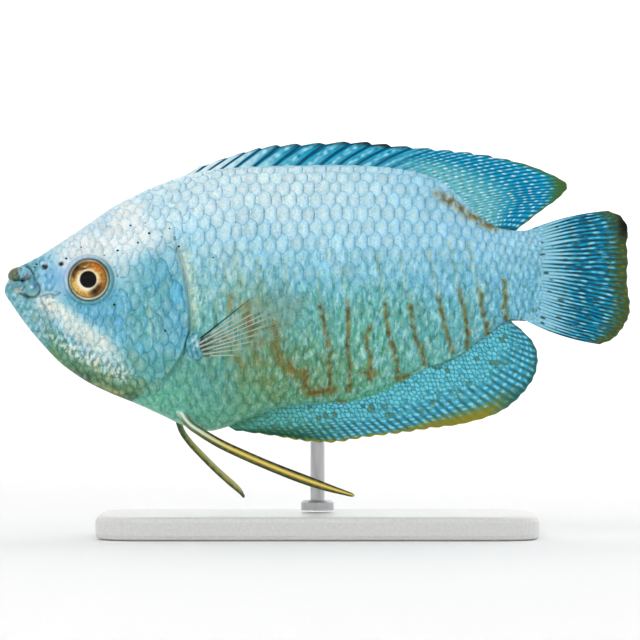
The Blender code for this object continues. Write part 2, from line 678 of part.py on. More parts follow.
def stand_base(name):
    """A flat slab with round corners and softened edges."""
    made = new_object(name, [], [], "base")
    work = bmesh.new()
    size = Matrix.Diagonal((BASE_LENGTH * MM, BASE_WIDTH * MM, BASE_HEIGHT * MM, 1))
    bmesh.ops.create_cube(work, size=1, matrix=Matrix.Translation((0, 0, BASE_HEIGHT * MM / 2)) @ size)
    upright = [e for e in work.edges if abs(e.verts[0].co.z - e.verts[1].co.z) > BASE_HEIGHT * MM / 2]
    bmesh.ops.bevel(work, geom=upright, offset=BASE_CORNER * MM, segments=7, profile=0.5, affect="EDGES")
    level = [e for e in work.edges if abs(e.verts[0].co.z - e.verts[1].co.z) < BASE_HEIGHT * MM / 2]
    bmesh.ops.bevel(work, geom=level, offset=BASE_BEVEL * MM, segments=2, profile=0.5, affect="EDGES")
    work.to_mesh(made.data)
    work.free()
    return made


def main():
    for obj in list(bpy.data.objects):
        bpy.data.objects.remove(obj)
    body = whole_body("body")
    clearance = grown(body, "clearance", GAP)
    head_and_jaw(body)
    trunk_and_tail_stalk(body)
    median_fin("dorsal_fin", DORSAL_ROOTS, DORSAL_TIPS, DORSAL_SPINES, DORSAL_SOFT_RAYS, DORSAL_NOTCH,
               DORSAL_SWAY, DORSAL_BOW, clearance)
    median_fin("anal_fin", ANAL_ROOTS, ANAL_TIPS, ANAL_SPINES, ANAL_SOFT_RAYS, ANAL_NOTCH,
               ANAL_SWAY, ANAL_BOW, clearance)
    tail_fin("tail_fin")
    for side, word in ((-1, "left"), (1, "right")):
        eyeball("eye_" + word, side)
        cover_plate("gill_cover_" + word, side)
        pectoral_fin("pectoral_fin_" + word, side, clearance)
    feeler("pelvic_feeler_left", LEFT_FEELER, clearance)
    feeler("pelvic_feeler_right", RIGHT_FEELER, clearance)
    remove(body, clearance)
    stand_base("stand_base")
    rod("stand_rod")
    for obj in bpy.data.objects:
        obj.data.shade_smooth()
        obj.data.set_sharp_from_angle(angle=SHARP_ANGLE)


main()
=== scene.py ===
# The looks of the dwarf gourami model, an adult male of the powder-blue form. One smooth skin takes the place
# of the flesh, scales lie over it, and finer fins, feelers, eyes and lips take the place of the plain ones.
# The stand keeps its own solids. Sizes are in the fish's own millimetres: x runs back from the tip of the
# lower lip, z up from it, and y from the middle plane to the fish's right. Sides are -1 for the left flank,
# which the camera sees, and 1 for the right.

import math
import random

import bpy
import numpy as np
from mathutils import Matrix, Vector


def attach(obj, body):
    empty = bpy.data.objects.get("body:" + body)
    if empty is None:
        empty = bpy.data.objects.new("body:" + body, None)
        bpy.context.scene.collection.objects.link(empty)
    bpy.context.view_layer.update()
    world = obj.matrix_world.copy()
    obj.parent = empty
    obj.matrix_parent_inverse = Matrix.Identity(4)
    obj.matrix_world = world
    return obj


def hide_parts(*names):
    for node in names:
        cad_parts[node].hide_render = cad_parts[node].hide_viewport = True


MM = 0.001
TOTAL_LENGTH, LIFT = 80.0, 31.5  # LIFT: how high the fish's own zero level is over the foot of the stand
SEED = 7

# The body without its fins: the back and the belly seen from the side, the half width at the widest level,
# that level, and how full the section is above and below it.
BACK = [
    (0.1, 0.5), (0.6, 1.5), (1.6, 2.75), (3.0, 3.55), (4.6, 4.4), (7.6, 6.4), (10.7, 8.45), (13.8, 10.6),
    (16.8, 12.15), (19.9, 13.55), (24.5, 15.1), (29.0, 15.65), (33.2, 15.9), (38.0, 16.0), (43.0, 16.1),
    (48.0, 15.9), (52.6, 15.3), (55.7, 14.1), (58.2, 12.2), (60.5, 9.9), (62.3, 8.4), (64.4, 7.7),
    (66.2, 7.6), (68.6, 7.9),
]
BELLY = [
    (0.1, -0.6), (0.6, -1.35), (1.5, -2.7), (3.0, -4.75), (4.6, -6.65), (6.1, -8.3), (7.6, -9.7),
    (10.7, -11.8), (13.8, -13.3), (16.8, -14.5), (19.9, -15.9), (22.9, -17.3), (25.6, -18.0), (27.8, -17.7),
    (31.4, -16.4), (34.6, -15.3), (38.0, -14.8), (43.0, -14.4), (47.4, -13.2), (50.5, -11.7), (54.4, -10.1),
    (58.5, -8.3), (61.9, -5.4), (63.9, -4.1), (66.2, -3.95), (68.6, -4.15),
]
HALF_WIDTH = [
    (0.1, 0.75), (0.6, 1.0), (1.5, 1.4), (3.0, 1.9), (5.0, 2.4), (7.7, 3.05), (10.9, 3.75), (14.8, 4.5),
    (18.6, 5.1), (23.0, 5.6), (28.0, 5.85), (34.0, 5.7), (40.0, 5.2), (47.0, 4.4), (53.0, 3.5), (58.0, 2.7),
    (62.0, 2.05), (64.5, 1.65), (66.2, 1.35), (67.6, 0.8), (68.6, 0.3),
]
WIDEST = [(0.1, 0.0), (3.0, -0.4), (7.7, -1.2), (12.0, -1.6), (18.0, -1.2), (25.0, -0.4), (34.0, 0.4),
          (47.0, 1.2), (66.2, 1.85), (68.6, 1.9)]
FULL_ABOVE = [(0.1, 2.0), (10.0, 1.8), (20.0, 1.85), (45.0, 1.8), (60.0, 1.9), (68.6, 2.0)]
FULL_BELOW = [(0.1, 2.0), (10.0, 2.0), (18.0, 2.3), (26.0, 2.5), (34.0, 1.9), (45.0, 1.6), (58.0, 1.6),
              (68.6, 2.0)]
BODY_START, BODY_END = 0.1, 68.6
# The line that the rows of scales follow.
MIDDLE_LINE = [(0.1, 0.0), (8.0, 0.6), (16.0, 0.2), (24.0, -0.4), (66.2, 1.85), (68.6, 1.9)]

# Lines and places on the head: (x, z).
GILL_SLIT = [(19.4, 16.0), (19.8, 13.2), (20.8, 8.7), (21.9, 5.4), (22.7, 2.8), (23.3, -0.3), (23.6, -2.8),
             (23.6, -5.1), (22.9, -7.9), (21.3, -10.3), (18.8, -12.6), (16.4, -14.1), (15.6, -17.0)]
CHEEK_EDGE = [(18.3, -1.3), (18.6, -3.2), (18.9, -5.0), (19.0, -6.9)]
CHEEK_CREASES = [
    [(4.75, -0.8), (5.9, -0.55), (6.6, -0.7), (7.2, -0.35)],
    [(4.9, -1.6), (5.5, -2.6), (5.7, -3.6), (6.1, -4.6)],
]
EYE, EYE_RADIUS, EYE_RIM = (10.95, 1.28), 2.65, 2.95
EYE_SUNK, EYE_HALF_DEPTH, EYE_CLEAR = 0.35, 1.15, 3.4
SLIT_EDGE, SLIT_FAR = 0.06, 0.45  # how far the scales stop before the gill opening and start behind it
NOSTRILS = [(5.2, 3.0, 0.38), (7.3, 3.35, 0.3)]
PORES = [(3.9, 2.9), (4.15, 3.3), (4.5, 3.6), (8.0, 4.0), (9.9, 5.45), (12.9, 4.4), (14.6, 5.0), (15.3, 4.6),
         (16.2, 8.2), (17.2, 6.0), (18.1, 8.5), (18.6, 7.2), (20.2, 6.7), (21.2, 7.8), (22.4, 5.5),
         (12.1, -3.4), (20.7, -5.2), (26.8, 4.1), (29.6, 8.6), (14.2, -1.9)]
UPPER_LIP = [(1.45, 0.0, 1.80, 1.0), (1.75, 0.8, 1.95, 0.96), (2.3, 1.25, 2.1, 0.88),
             (2.95, 1.6, 1.95, 0.7), (3.5, 1.88, 1.6, 0.35)]
LOWER_LIP = [(0.42, 0.0, -0.1, 0.42), (0.75, 0.72, 0.12, 0.38), (1.3, 1.2, 0.55, 0.36),
             (1.95, 1.5, 0.85, 0.34), (2.35, 1.68, 0.5, 0.3), (2.3, 1.75, -0.1, 0.2)]
JAW_KNOB, KNOB_RADIUS = (3.62, 0.08), 0.92
MOUTH = (2.15, 1.2)
LIP_GROOVE = [(2.75, 3.1), (3.4, 2.55), (3.8, 1.9), (3.86, 1.3)]
# Folds of the face: the line of each, how far it stands out, and its width.
FOLDS = [(crease, -0.08, 0.2) for crease in CHEEK_CREASES]
FOLDS += [(LIP_GROOVE, -0.22, 0.16), ([(1.5, -0.2), (2.2, -0.35), (2.5, -0.9)], 0.12, 0.3),
          ([(2.5, -0.5), (3.1, -0.95), (4.6, -1.0), (5.3, -2.0)], -0.16, 0.16)]
# Fine creases that run out from under the eye, as folds.
EYE_SPOKES = [([(EYE[0] + r * math.cos(turn), EYE[1] + r * math.sin(turn)) for r in (3.5, 5.6)], -0.05, 0.12)
              for turn in np.radians(range(205, 334, 16))]

# Fins: the roots of the rays along the body and their tips, from the first ray to the last.
DORSAL_ROOTS = [(23.5, 14.9), (26.5, 15.4), (29.7, 15.6), (34.6, 15.9), (40.3, 16.0), (44.8, 16.05),
                (49.3, 15.8), (52.4, 15.3), (55.1, 14.3), (57.2, 12.9), (58.6, 11.6), (59.8, 10.5),
                (60.8, 9.2), (61.8, 7.6)]
DORSAL_TIPS = [(24.9, 15.8), (30.1, 17.5), (34.2, 18.5), (39.3, 18.8), (45.4, 19.0), (50.3, 18.5),
               (55.6, 18.0), (60.5, 17.45), (65.2, 16.5), (69.0, 15.2), (71.9, 13.55), (71.0, 11.9),
               (68.6, 10.1), (65.2, 7.4)]
DORSAL_SPINES, DORSAL_SOFT_RAYS = 16, 10
ANAL_ROOTS = [(28.4, -17.3), (31.6, -16.1), (34.8, -15.15), (38.1, -14.7), (41.6, -14.5), (45.0, -13.8),
              (48.5, -12.5), (52.1, -10.95), (55.9, -9.5), (58.7, -8.1), (61.0, -6.2), (62.4, -4.9),
              (63.3, -3.7)]
ANAL_TIPS = [(29.6, -18.0), (34.6, -18.7), (38.4, -19.35), (42.2, -19.5), (46.2, -18.85), (50.3, -18.35),
             (54.6, -17.7), (58.9, -17.05), (63.3, -15.6), (66.3, -13.15), (68.0, -10.2), (67.7, -6.9),
             (64.5, -3.6)]
ANAL_SPINES, ANAL_SOFT_RAYS = 16, 14
TAIL_ROOTS = [(66.5, 7.5), (66.5, 4.7), (66.5, 1.85), (66.5, -1.0), (66.5, -3.85)]
TAIL_TIPS = [(77.2, 10.15), (78.9, 9.4), (79.75, 7.8), (79.6, 5.9), (79.75, 4.0), (79.65, 2.0), (79.75, 0.0),
             (80.0, -1.7), (79.9, -3.2), (79.4, -4.3), (78.6, -5.5), (77.6, -6.4), (76.1, -6.95)]
TAIL_RAYS = 15
PECTORAL_ROOTS = [(25.5, -5.9), (25.7, -6.7), (25.85, -7.5), (25.9, -8.4)]
PECTORAL_TIPS = [(32.0, -0.8), (35.0, -0.35), (38.2, -0.3), (39.6, -0.9), (38.6, -2.9), (36.6, -4.9),
                 (34.2, -6.7), (31.8, -8.2)]
PECTORAL_RAYS = 10
PECTORAL_LOBE, LOBE_RADII = (24.6, -7.1), (1.3, 0.7, 1.85)
# How wide a ray is as a share of the space between two, and half the thickness at rays, web and edge.
RAY_WIDTH, RAY_HALF, WEB_HALF, EDGE_HALF = 0.30, 0.40, 0.24, 0.16
DORSAL_SWAY, ANAL_SWAY, TAIL_SWAY = 0.35, -0.3, 0.7
DORSAL_BOW, ANAL_BOW, TAIL_BOW = 0.35, -0.3, 0.45
PECTORAL_CLEAR, PECTORAL_SPREAD = 0.8, 2.4
LEFT_FEELER = [(21.9, -2.0, -14.4), (23.4, -2.75, -16.8), (25.3, -3.05, -18.2), (27.8, -3.3, -19.65),
               (30.7, -3.5, -21.0), (34.1, -3.75, -22.45), (37.8, -3.95, -23.9), (41.4, -4.1, -25.15),
               (44.7, -4.2, -26.15)]
RIGHT_FEELER = [(21.7, 2.0, -14.6), (22.4, 2.9, -17.6), (23.4, 3.6, -19.3), (24.8, 4.7, -20.9),
                (26.8, 6.3, -23.0), (28.4, 7.6, -24.5), (29.9, 8.8, -25.9), (30.5, 9.6, -26.8)]
FEELER_SIZES = [(0.5, 0.36), (0.55, 0.34), (0.6, 0.3), (0.62, 0.27), (0.6, 0.24), (0.24, 0.16)]

# Scales: the pitch along the body at x, the pitch between the rows at a distance from the middle line, and
# how much the rows draw together at x.
SCALE_PITCH = [(3.0, 0.75), (8.0, 1.0), (12.0, 1.22), (18.0, 1.45), (26.0, 1.66), (42.0, 1.66), (50.0, 1.60),
               (56.0, 1.5), (61.0, 1.25), (64.0, 1.0), (66.5, 0.8), (68.5, 0.65)]
ROW_PITCH = [(-34.0, 0.9), (-11.0, 0.95), (-7.0, 1.15), (0.0, 1.3), (6.5, 1.3), (9.0, 1.08), (11.0, 0.88),
             (16.0, 0.78), (34.0, 0.78)]
ROW_CLOSING = [(0.1, 0.62), (6.0, 0.78), (12.0, 0.88), (17.0, 1.04), (21.0, 1.22), (27.0, 1.44), (36.0, 1.44),
               (48.0, 1.34), (57.0, 1.16), (62.0, 0.93), (66.0, 0.7), (68.6, 0.6)]
SCALES_START, SCALES_END, ROWS_REACH = 3.0, 68.0, 34.0
HEAD_END = 22.0  # scales before it are smaller and looser
SCALE_TURN, SCALE_LOOSE = (0.22, 0.04), (0.20, 0.09)  # how far they turn and stray, on the head and behind it
SCALE_LIFT, SCALE_SUNK, SCALE_THICK = 0.050, 0.02, 0.06
UV_PATCH = 0.003  # the size of each scale's patch on the unwrap

# Colours, as sRGB shares.
PALE = (0.90, 0.98, 1.0)
SKY = (0.71, 0.91, 0.98)
CYAN = (0.50, 0.80, 0.89)
BLUE = (0.32, 0.67, 0.86)
TEAL = (0.41, 0.78, 0.76)
SEA_GREEN = (0.41, 0.78, 0.64)
OLIVE = (0.42, 0.53, 0.24)
BROWN = (0.27, 0.19, 0.02)
INK = (0.05, 0.09, 0.12)

FLECK_LAYERS = [  # fine flecks on the scales: kind of blend, colour, share from and to, pattern, its scale
    ("MULTIPLY", (0.60, 0.80, 0.76, 1), 0.40, 0.78, "Voronoi", (1900, 1750, 900)),
    ("SCREEN", (0.21, 0.43, 0.47, 1), 0.50, 0.66, "Noise", (2500, 1600, 850)),
    ("MULTIPLY", (0.44, 0.62, 0.50, 1), 0.47, 0.32, "Noise", (2400, 1500, 950)),
]

# The camera's place in metres, and its lens and sensor in millimetres.
CAMERA_X, CAMERA_Z, CAMERA_DISTANCE = 0.00032, 0.02767, 0.6816
LENS, SENSOR = 300.0, 36.0
FLOOR_DROP = 0.00002  # how far the floor lies under the stand
SKIN_AROUND = 300  # points round each ring of the skin
RAY_STATIONS, RAY_SIDES, TUBE_SIDES = 26, 6, 28  # points along and round the pectoral rays, and round tubes


# Curves and small helpers


def place(x, y, z):
    """Points of the fish in its own millimetres, as places in the model."""
    x, y, z = np.asarray(x) - TOTAL_LENGTH / 2, np.asarray(y), np.asarray(z) + LIFT
    return np.stack([x * MM, y * MM, z * MM], -1)


def curve(points, x):
    """A smooth curve through (x, value) points, read at an array of x."""
    xs, vs = np.array([p[0] for p in points], float), np.array([p[1] for p in points], float)
    low, high = np.maximum(np.arange(len(xs)) - 1, 0), np.minimum(np.arange(len(xs)) + 1, len(xs) - 1)
    slopes = (vs[high] - vs[low]) / (xs[high] - xs[low])
    x = np.clip(x, xs[0], xs[-1])
    i = np.clip(np.searchsorted(xs, x) - 1, 0, len(xs) - 2)
    span = xs[i + 1] - xs[i]
    t = (x - xs[i]) / span
    return (
        vs[i] * (2 * t**3 - 3 * t**2 + 1) + vs[i + 1] * (3 * t**2 - 2 * t**3)
        + slopes[i] * span * (t**3 - 2 * t**2 + t) + slopes[i + 1] * span * (t**3 - t**2)
    )


def along(points, t):
    """Points of a smooth line at the shares t, one column for each of its sizes."""
    at = np.asarray(t, float) * (len(points) - 1)
    return np.stack([curve([(k, p[a]) for k, p in enumerate(points)], at) for a in range(len(points[0]))], -1)


def ease(low, high, value):
    """0 up to low and 1 from high on, with a smooth run between; high may be the lower one of the two."""
    t = np.clip((value - low) / (high - low), 0, 1)
    return t * t * (3 - 2 * t)


def bell(value, middle, width):
    """1 where a value is at the middle, falling softly away on both sides."""
    return np.exp(-(((value - middle) / width) ** 2))


def near_line(x, z, points):
    """Distance of each place from a line of (x, z) points."""
    best = np.full(np.shape(x), 1e9)
    for (xa, za), (xb, zb) in zip(points, points[1:]):
        dx, dz = xb - xa, zb - za
        t = np.clip(((x - xa) * dx + (z - za) * dz) / (dx * dx + dz * dz), 0, 1)
        best = np.minimum(best, np.hypot(x - xa - t * dx, z - za - t * dz))
    return best


def stroke(x, z, points, width):
    """How much a place lies on a soft line of (x, z) points."""
    return bell(near_line(x, z, points), 0.0, width)


def even(x, colour):
    """One colour at every place of x."""
    return np.zeros(np.shape(x) + (3,)) + np.array(colour)


def blob(x, z, middle, radii, tilt=0.0):
    """How much a place lies in a soft oval, 1 in its middle and 0 well outside it."""
    dx, dz = x - middle[0], z - middle[1]
    a = dx * math.cos(tilt) + dz * math.sin(tilt)
    b = dz * math.cos(tilt) - dx * math.sin(tilt)
    return np.exp(-((a / radii[0]) ** 2 + (b / radii[1]) ** 2))


def mix(base, colour, weight):
    """A base colour with another laid over it, by its weight at each place."""
    weight = np.clip(np.asarray(weight, float), 0, 1)[..., None]
    return base * (1 - weight) + np.asarray(colour, float) * weight


def laid(base, layers):
    """A base colour with others laid over it one by one, each as (colour, weight)."""
    for colour, weight in layers:
        base = mix(base, colour, weight)
    return base


def circle(sides):
    """Directions evenly spaced round a circle."""
    return math.tau * np.arange(sides) / sides


def globe(rows, sides, pole):
    """Tilts from front to back of a globe and turns round it, the last rings a little short of the poles."""
    return np.meshgrid(np.linspace(pole, math.pi - pole, rows), circle(sides), indexing="ij")


def waves(x, z, size, seed):
    """Soft uneven shading between -1 and 1, with patches about this size."""
    draw = random.Random(seed)
    total = np.zeros(np.shape(x))
    for _ in range(7):
        turn, phase = draw.uniform(0, math.tau), draw.uniform(0, math.tau)
        rate = draw.uniform(0.7, 1.5) * math.tau / size
        total = total + np.sin((x * math.cos(turn) + z * math.sin(turn)) * rate + phase)
    return total / 3.5


def cobbles(x, z, size, seed):
    """An uneven cobbled pattern with cells about this size: 1 on their borders and 0 inside, and a chance
    for each."""
    column, row = np.floor(x / size), np.floor(z / size)
    near, second, drawn = (np.full(np.shape(x), 9.0) for _ in range(3))
    for right in (-1, 0, 1):
        for up in (-1, 0, 1):
            a, b = column + right, row + up
            chance = np.sin(a * 127.1 + b * 311.7 + seed) * 43758.5
            other = np.sin(a * 269.5 + b * 183.3 + seed) * 24634.6
            dx, dz = 0.15 + 0.7 * (chance % 1) - x / size, 0.15 + 0.7 * (other % 1) - z / size
            reach = np.hypot(a + dx, b + dz)
            second = np.minimum(second, np.maximum(near, reach))
            drawn = np.where(reach < near, (chance * 7.3) % 1, drawn)
            near = np.minimum(near, reach)
    return ease(0.30, 0.02, second - near), drawn


def linear(colour):
    """sRGB shares as the linear values that shaders take."""
    colour = np.clip(colour, 0, 1)
    return np.where(colour <= 0.04045, colour / 12.92, ((colour + 0.055) / 1.055) ** 2.4)


# The surface of the body


def half_width(x, z):
    """Half the width of the body at x and at the height z."""
    top, bottom, level = curve(BACK, x), curve(BELLY, x), curve(WIDEST, x)
    above = z > level
    reach = np.where(above, top - level, level - bottom)
    fullness = np.where(above, curve(FULL_ABOVE, x), curve(FULL_BELOW, x))
    share = np.minimum(np.abs(z - level) / reach, 1.0)
    return curve(HALF_WIDTH, x) * np.sqrt(1 - share**fullness)


def section(x, turn):
    """(y, z) of the body's section at x on the right side, with turn from a quarter turn up to one down."""
    top, bottom, level = curve(BACK, x), curve(BELLY, x), curve(WIDEST, x)
    rise = np.sin(turn)
    z = level + rise * np.where(rise > 0, top - level, level - bottom)
    fullness = np.where(rise > 0, curve(FULL_ABOVE, x), curve(FULL_BELOW, x))
    y = curve(HALF_WIDTH, x) * np.sqrt(np.maximum(1 - np.abs(rise) ** fullness, 0))
    return y, z


def beyond_slit(x, z):
    """How far a place lies behind the edge of the gill cover; negative on the head."""
    line = GILL_SLIT[::-1]
    return x - np.interp(z, [p[1] for p in line], [p[0] for p in line])


def eye_reach(x, z):
    """How far a place lies from the middle of the eye, seen from the side."""
    return np.hypot(x - EYE[0], z - EYE[1])


def knob_reach(x, z):
    """How far a place lies from the middle of the knob on the upper jaw, as a share of its radius."""
    return np.hypot(x - JAW_KNOB[0], z - JAW_KNOB[1]) / KNOB_RADIUS


def relief(x, z):
    """How far the skin stands out from the plain body form.

    In order: the edge of the gill cover, the rim and socket of the eye, the nostrils, the knob, the corner of
    the mouth, the folds, and the pits of the snout.
    """
    behind, from_eye, knob = beyond_slit(x, z), eye_reach(x, z), knob_reach(x, z)
    shown = ease(7.6, 4.6, z) * ease(-13.0, -7.5, z)
    height = 0.26 * shown * np.exp(-np.maximum(-behind, 0) / 2.6) * ease(0.14, -0.06, behind)
    height -= 0.20 * shown * bell(behind, 0.28, 0.28)
    height += 0.30 * bell(from_eye, EYE_RIM, 0.30) - 0.10 * bell(from_eye, EYE_RIM + 0.62, 0.22)
    height -= 1.5 * ease(EYE_RADIUS + 0.04, EYE_RADIUS - 0.26, from_eye)
    for nx, nz, size in NOSTRILS:
        reach = np.hypot(x - nx, z - nz)
        height += 0.02 * bell(reach, size * 1.5, 0.16) - 0.4 * bell(reach, 0.0, size)
    height += 0.16 * np.sqrt(np.clip(1 - knob**2, 0, 1)) - 0.10 * bell(knob, 1.16, 0.14)
    height -= 0.35 * blob(x, z, MOUTH, (0.5, 0.22), 0.35)
    for line, rise, width in FOLDS + EYE_SPOKES:
        height += rise * stroke(x, z, line, width)
    height -= 0.025 * cobbles(x, z, 0.9, 5)[0] * snout_share(x, z)
    return height


def snout_share(x, z):
    """1 on the snout and the jaw, where the skin itself is pitted and has no scales over it."""
    return ease(7.4, 6.2, x + 0.15 * np.abs(z))


# The size of the body's tables, and how far round from the middle line they reach.
TABLE_STATIONS, TABLE_ROWS, TABLE_REACH = 500, 441, 22.0


def build_tables():
    """The body as tables of places and directions, by station and by distance round from the middle line."""
    stations = np.linspace(BODY_START, BODY_END, TABLE_STATIONS)
    arcs = np.linspace(-TABLE_REACH, TABLE_REACH, TABLE_ROWS)
    turns = np.linspace(math.pi / 2, -math.pi / 2, 361)
    places = np.zeros((TABLE_STATIONS, TABLE_ROWS, 3))
    ends = np.zeros((TABLE_STATIONS, 2))
    for i, x in enumerate(stations):
        y, z = section(np.full(turns.shape, x), turns)
        run = np.concatenate([[0], np.cumsum(np.hypot(np.diff(y), np.diff(z)))])
        middle = np.interp(-curve(MIDDLE_LINE, np.array([x]))[0], -z, run)
        distance = middle - run
        places[i, :, 0] = x
        places[i, :, 1] = np.interp(arcs, distance[::-1], y[::-1])
        places[i, :, 2] = np.interp(arcs, distance[::-1], z[::-1])
        ends[i] = distance[-1], distance[0]
    lengthwise = np.gradient(places, stations, axis=0)
    crosswise = np.gradient(places, arcs, axis=1)
    normals = np.cross(crosswise, lengthwise)
    size = np.linalg.norm(normals, axis=-1, keepdims=True)
    normals = np.where(size > 1e-6, normals / np.maximum(size, 1e-6), [0.0, 1.0, 0.0])
    normals *= np.sign(normals[..., 1:2] + 1e-9)
    return stations, places, normals, ends


STATIONS, PLACES, NORMALS, ENDS = build_tables()


def read(table, x, arc):
    """A table read at x and at a distance round from the middle line."""
    i = np.clip((x - BODY_START) / (BODY_END - BODY_START) * (TABLE_STATIONS - 1), 0, TABLE_STATIONS - 1.001)
    j = np.clip((arc + TABLE_REACH) / (2 * TABLE_REACH) * (TABLE_ROWS - 1), 0, TABLE_ROWS - 1.001)
    i0, j0 = i.astype(int), j.astype(int)
    fi, fj = (i - i0)[..., None], (j - j0)[..., None]
    return (
        table[i0, j0] * (1 - fi) * (1 - fj) + table[i0 + 1, j0] * fi * (1 - fj)
        + table[i0, j0 + 1] * (1 - fi) * fj + table[i0 + 1, j0 + 1] * fi * fj
    )


# Markings, shared by the skin and its scales


BARS = [  # thin brown bars down the flank
    [(40.3, -1.9), (40.9, -4.6), (41.6, -7.7), (41.5, -8.9), (41.6, -12.6)],
    [(43.8, -1.7), (43.9, -3.8), (43.8, -7.0), (44.2, -11.2), (44.0, -12.9)],
    [(46.7, -4.6), (46.2, -6.0), (46.3, -7.0), (46.7, -8.1), (46.7, -11.8)],
    [(48.6, -1.9), (49.0, -5.5), (49.8, -7.9), (50.2, -10.4)],
    [(51.8, -2.0), (52.2, -4.7), (52.6, -6.4), (53.6, -8.7), (53.6, -9.5)],
    [(55.4, -0.9), (55.9, -3.2), (56.3, -4.9), (57.2, -7.9)],
    [(58.1, 0.0), (58.7, -2.8), (59.2, -5.8), (59.0, -7.9)],
    [(60.6, 0.0), (60.8, -1.7), (61.3, -3.6), (61.8, -5.6)],
    [(63.7, 2.0), (64.0, -1.3), (63.8, -2.6), (64.1, -3.6)],
]
FAINT_BARS = [  # paler lines that run up from the bars between the scales
    [(40.1, 2.6), (40.3, -1.9)], [(43.0, 3.0), (43.8, -1.7)], [(47.4, 4.4), (48.6, -1.9)],
    [(50.4, 4.6), (51.8, -2.0)], [(54.0, 5.4), (55.4, -0.9)], [(56.8, 6.0), (58.1, 0.0)],
    [(59.2, 6.0), (60.6, 0.0)], [(29.6, 5.0), (29.9, 0.2)], [(32.4, 3.6), (33.0, -1.0)],
    [(35.6, 4.4), (36.4, -0.6)],
]
GOLD_MARKS = [  # golden brown marks among the bars and before them: line, width, strength
    ([(38.4, -10.6), (38.5, -12.4)], 0.50, 1.0), ([(38.8, -13.1), (42.1, -12.8)], 0.42, 1.0),
    ([(36.2, -9.4), (37.0, -10.4)], 0.55, 0.8), ([(34.6, -4.4), (34.8, -7.7), (35.3, -9.2)], 0.50, 0.8),
    ([(30.9, -1.7), (31.4, -4.5), (31.6, -5.6)], 0.50, 0.8), ([(29.0, -0.8), (29.0, -2.6)], 0.35, 0.7),
    ([(32.0, -7.0), (32.2, -9.2)], 0.50, 0.45), ([(30.0, -8.3), (30.6, -9.8)], 0.50, 0.4),
    ([(45.7, -10.5), (47.4, -10.7)], 0.32, 0.9), ([(50.0, -11.3), (51.6, -11.0)], 0.32, 0.9),
    ([(42.9, -14.3), (43.4, -14.5)], 0.35, 0.9),
]
FIN_BORDER = [  # where the markings of the flank end, over the root of the anal fin
    (28.0, -17.5), (33.9, -15.1), (39.0, -14.3), (43.5, -14.5), (46.5, -13.8), (48.5, -13.1), (50.0, -12.2),
    (51.8, -11.2), (54.0, -10.2), (56.0, -9.6), (58.2, -8.6), (60.1, -7.1), (62.3, -5.5), (64.3, -4.0),
]
CHEEK_BAND = [(5.4, -1.6), (7.4, -3.2), (9.4, -4.9), (11.8, -6.4), (14.6, -8.6)]
CHEEK_SPECKS = [(5.0, -5.9), (7.4, -6.6), (10.2, -8.4), (13.0, -9.6), (15.0, -10.6)]
DORSAL_ROOT_MARKS = [(55.3, 12.2), (57.2, 11.1), (58.9, 9.8), (61.2, 8.5), (62.6, 7.9)]


def bar_share(x, z):
    """How much a place lies on one of the thin bars, each a little broken and wavering."""
    found = np.zeros(np.shape(x))
    patchy = waves(x, z, 1.3, 8)
    for k, bar in enumerate(BARS):
        broken = 0.80 + 0.22 * np.sin(z * 5.2 + k * 1.7) + 0.35 * patchy
        found = np.maximum(found, stroke(x + 0.06 * np.sin(z * 3.4 + k), z, bar, 0.34) * broken)
    return np.clip(found, 0, 1)


def gold_share(x, z):
    """How much a place lies on one of the golden brown marks; over 1 in their dark middles."""
    found = np.zeros(np.shape(x))
    for line, width, strength in GOLD_MARKS:
        found = np.maximum(found, strength * stroke(x, z, line, 1.25 * width))
    return found * (1.08 + 0.35 * waves(x, z, 0.9, 10))


def border_gap(x, z):
    """How far a place lies above the border between the flank and the anal fin."""
    return z - np.interp(x, [p[0] for p in FIN_BORDER], [p[1] for p in FIN_BORDER])


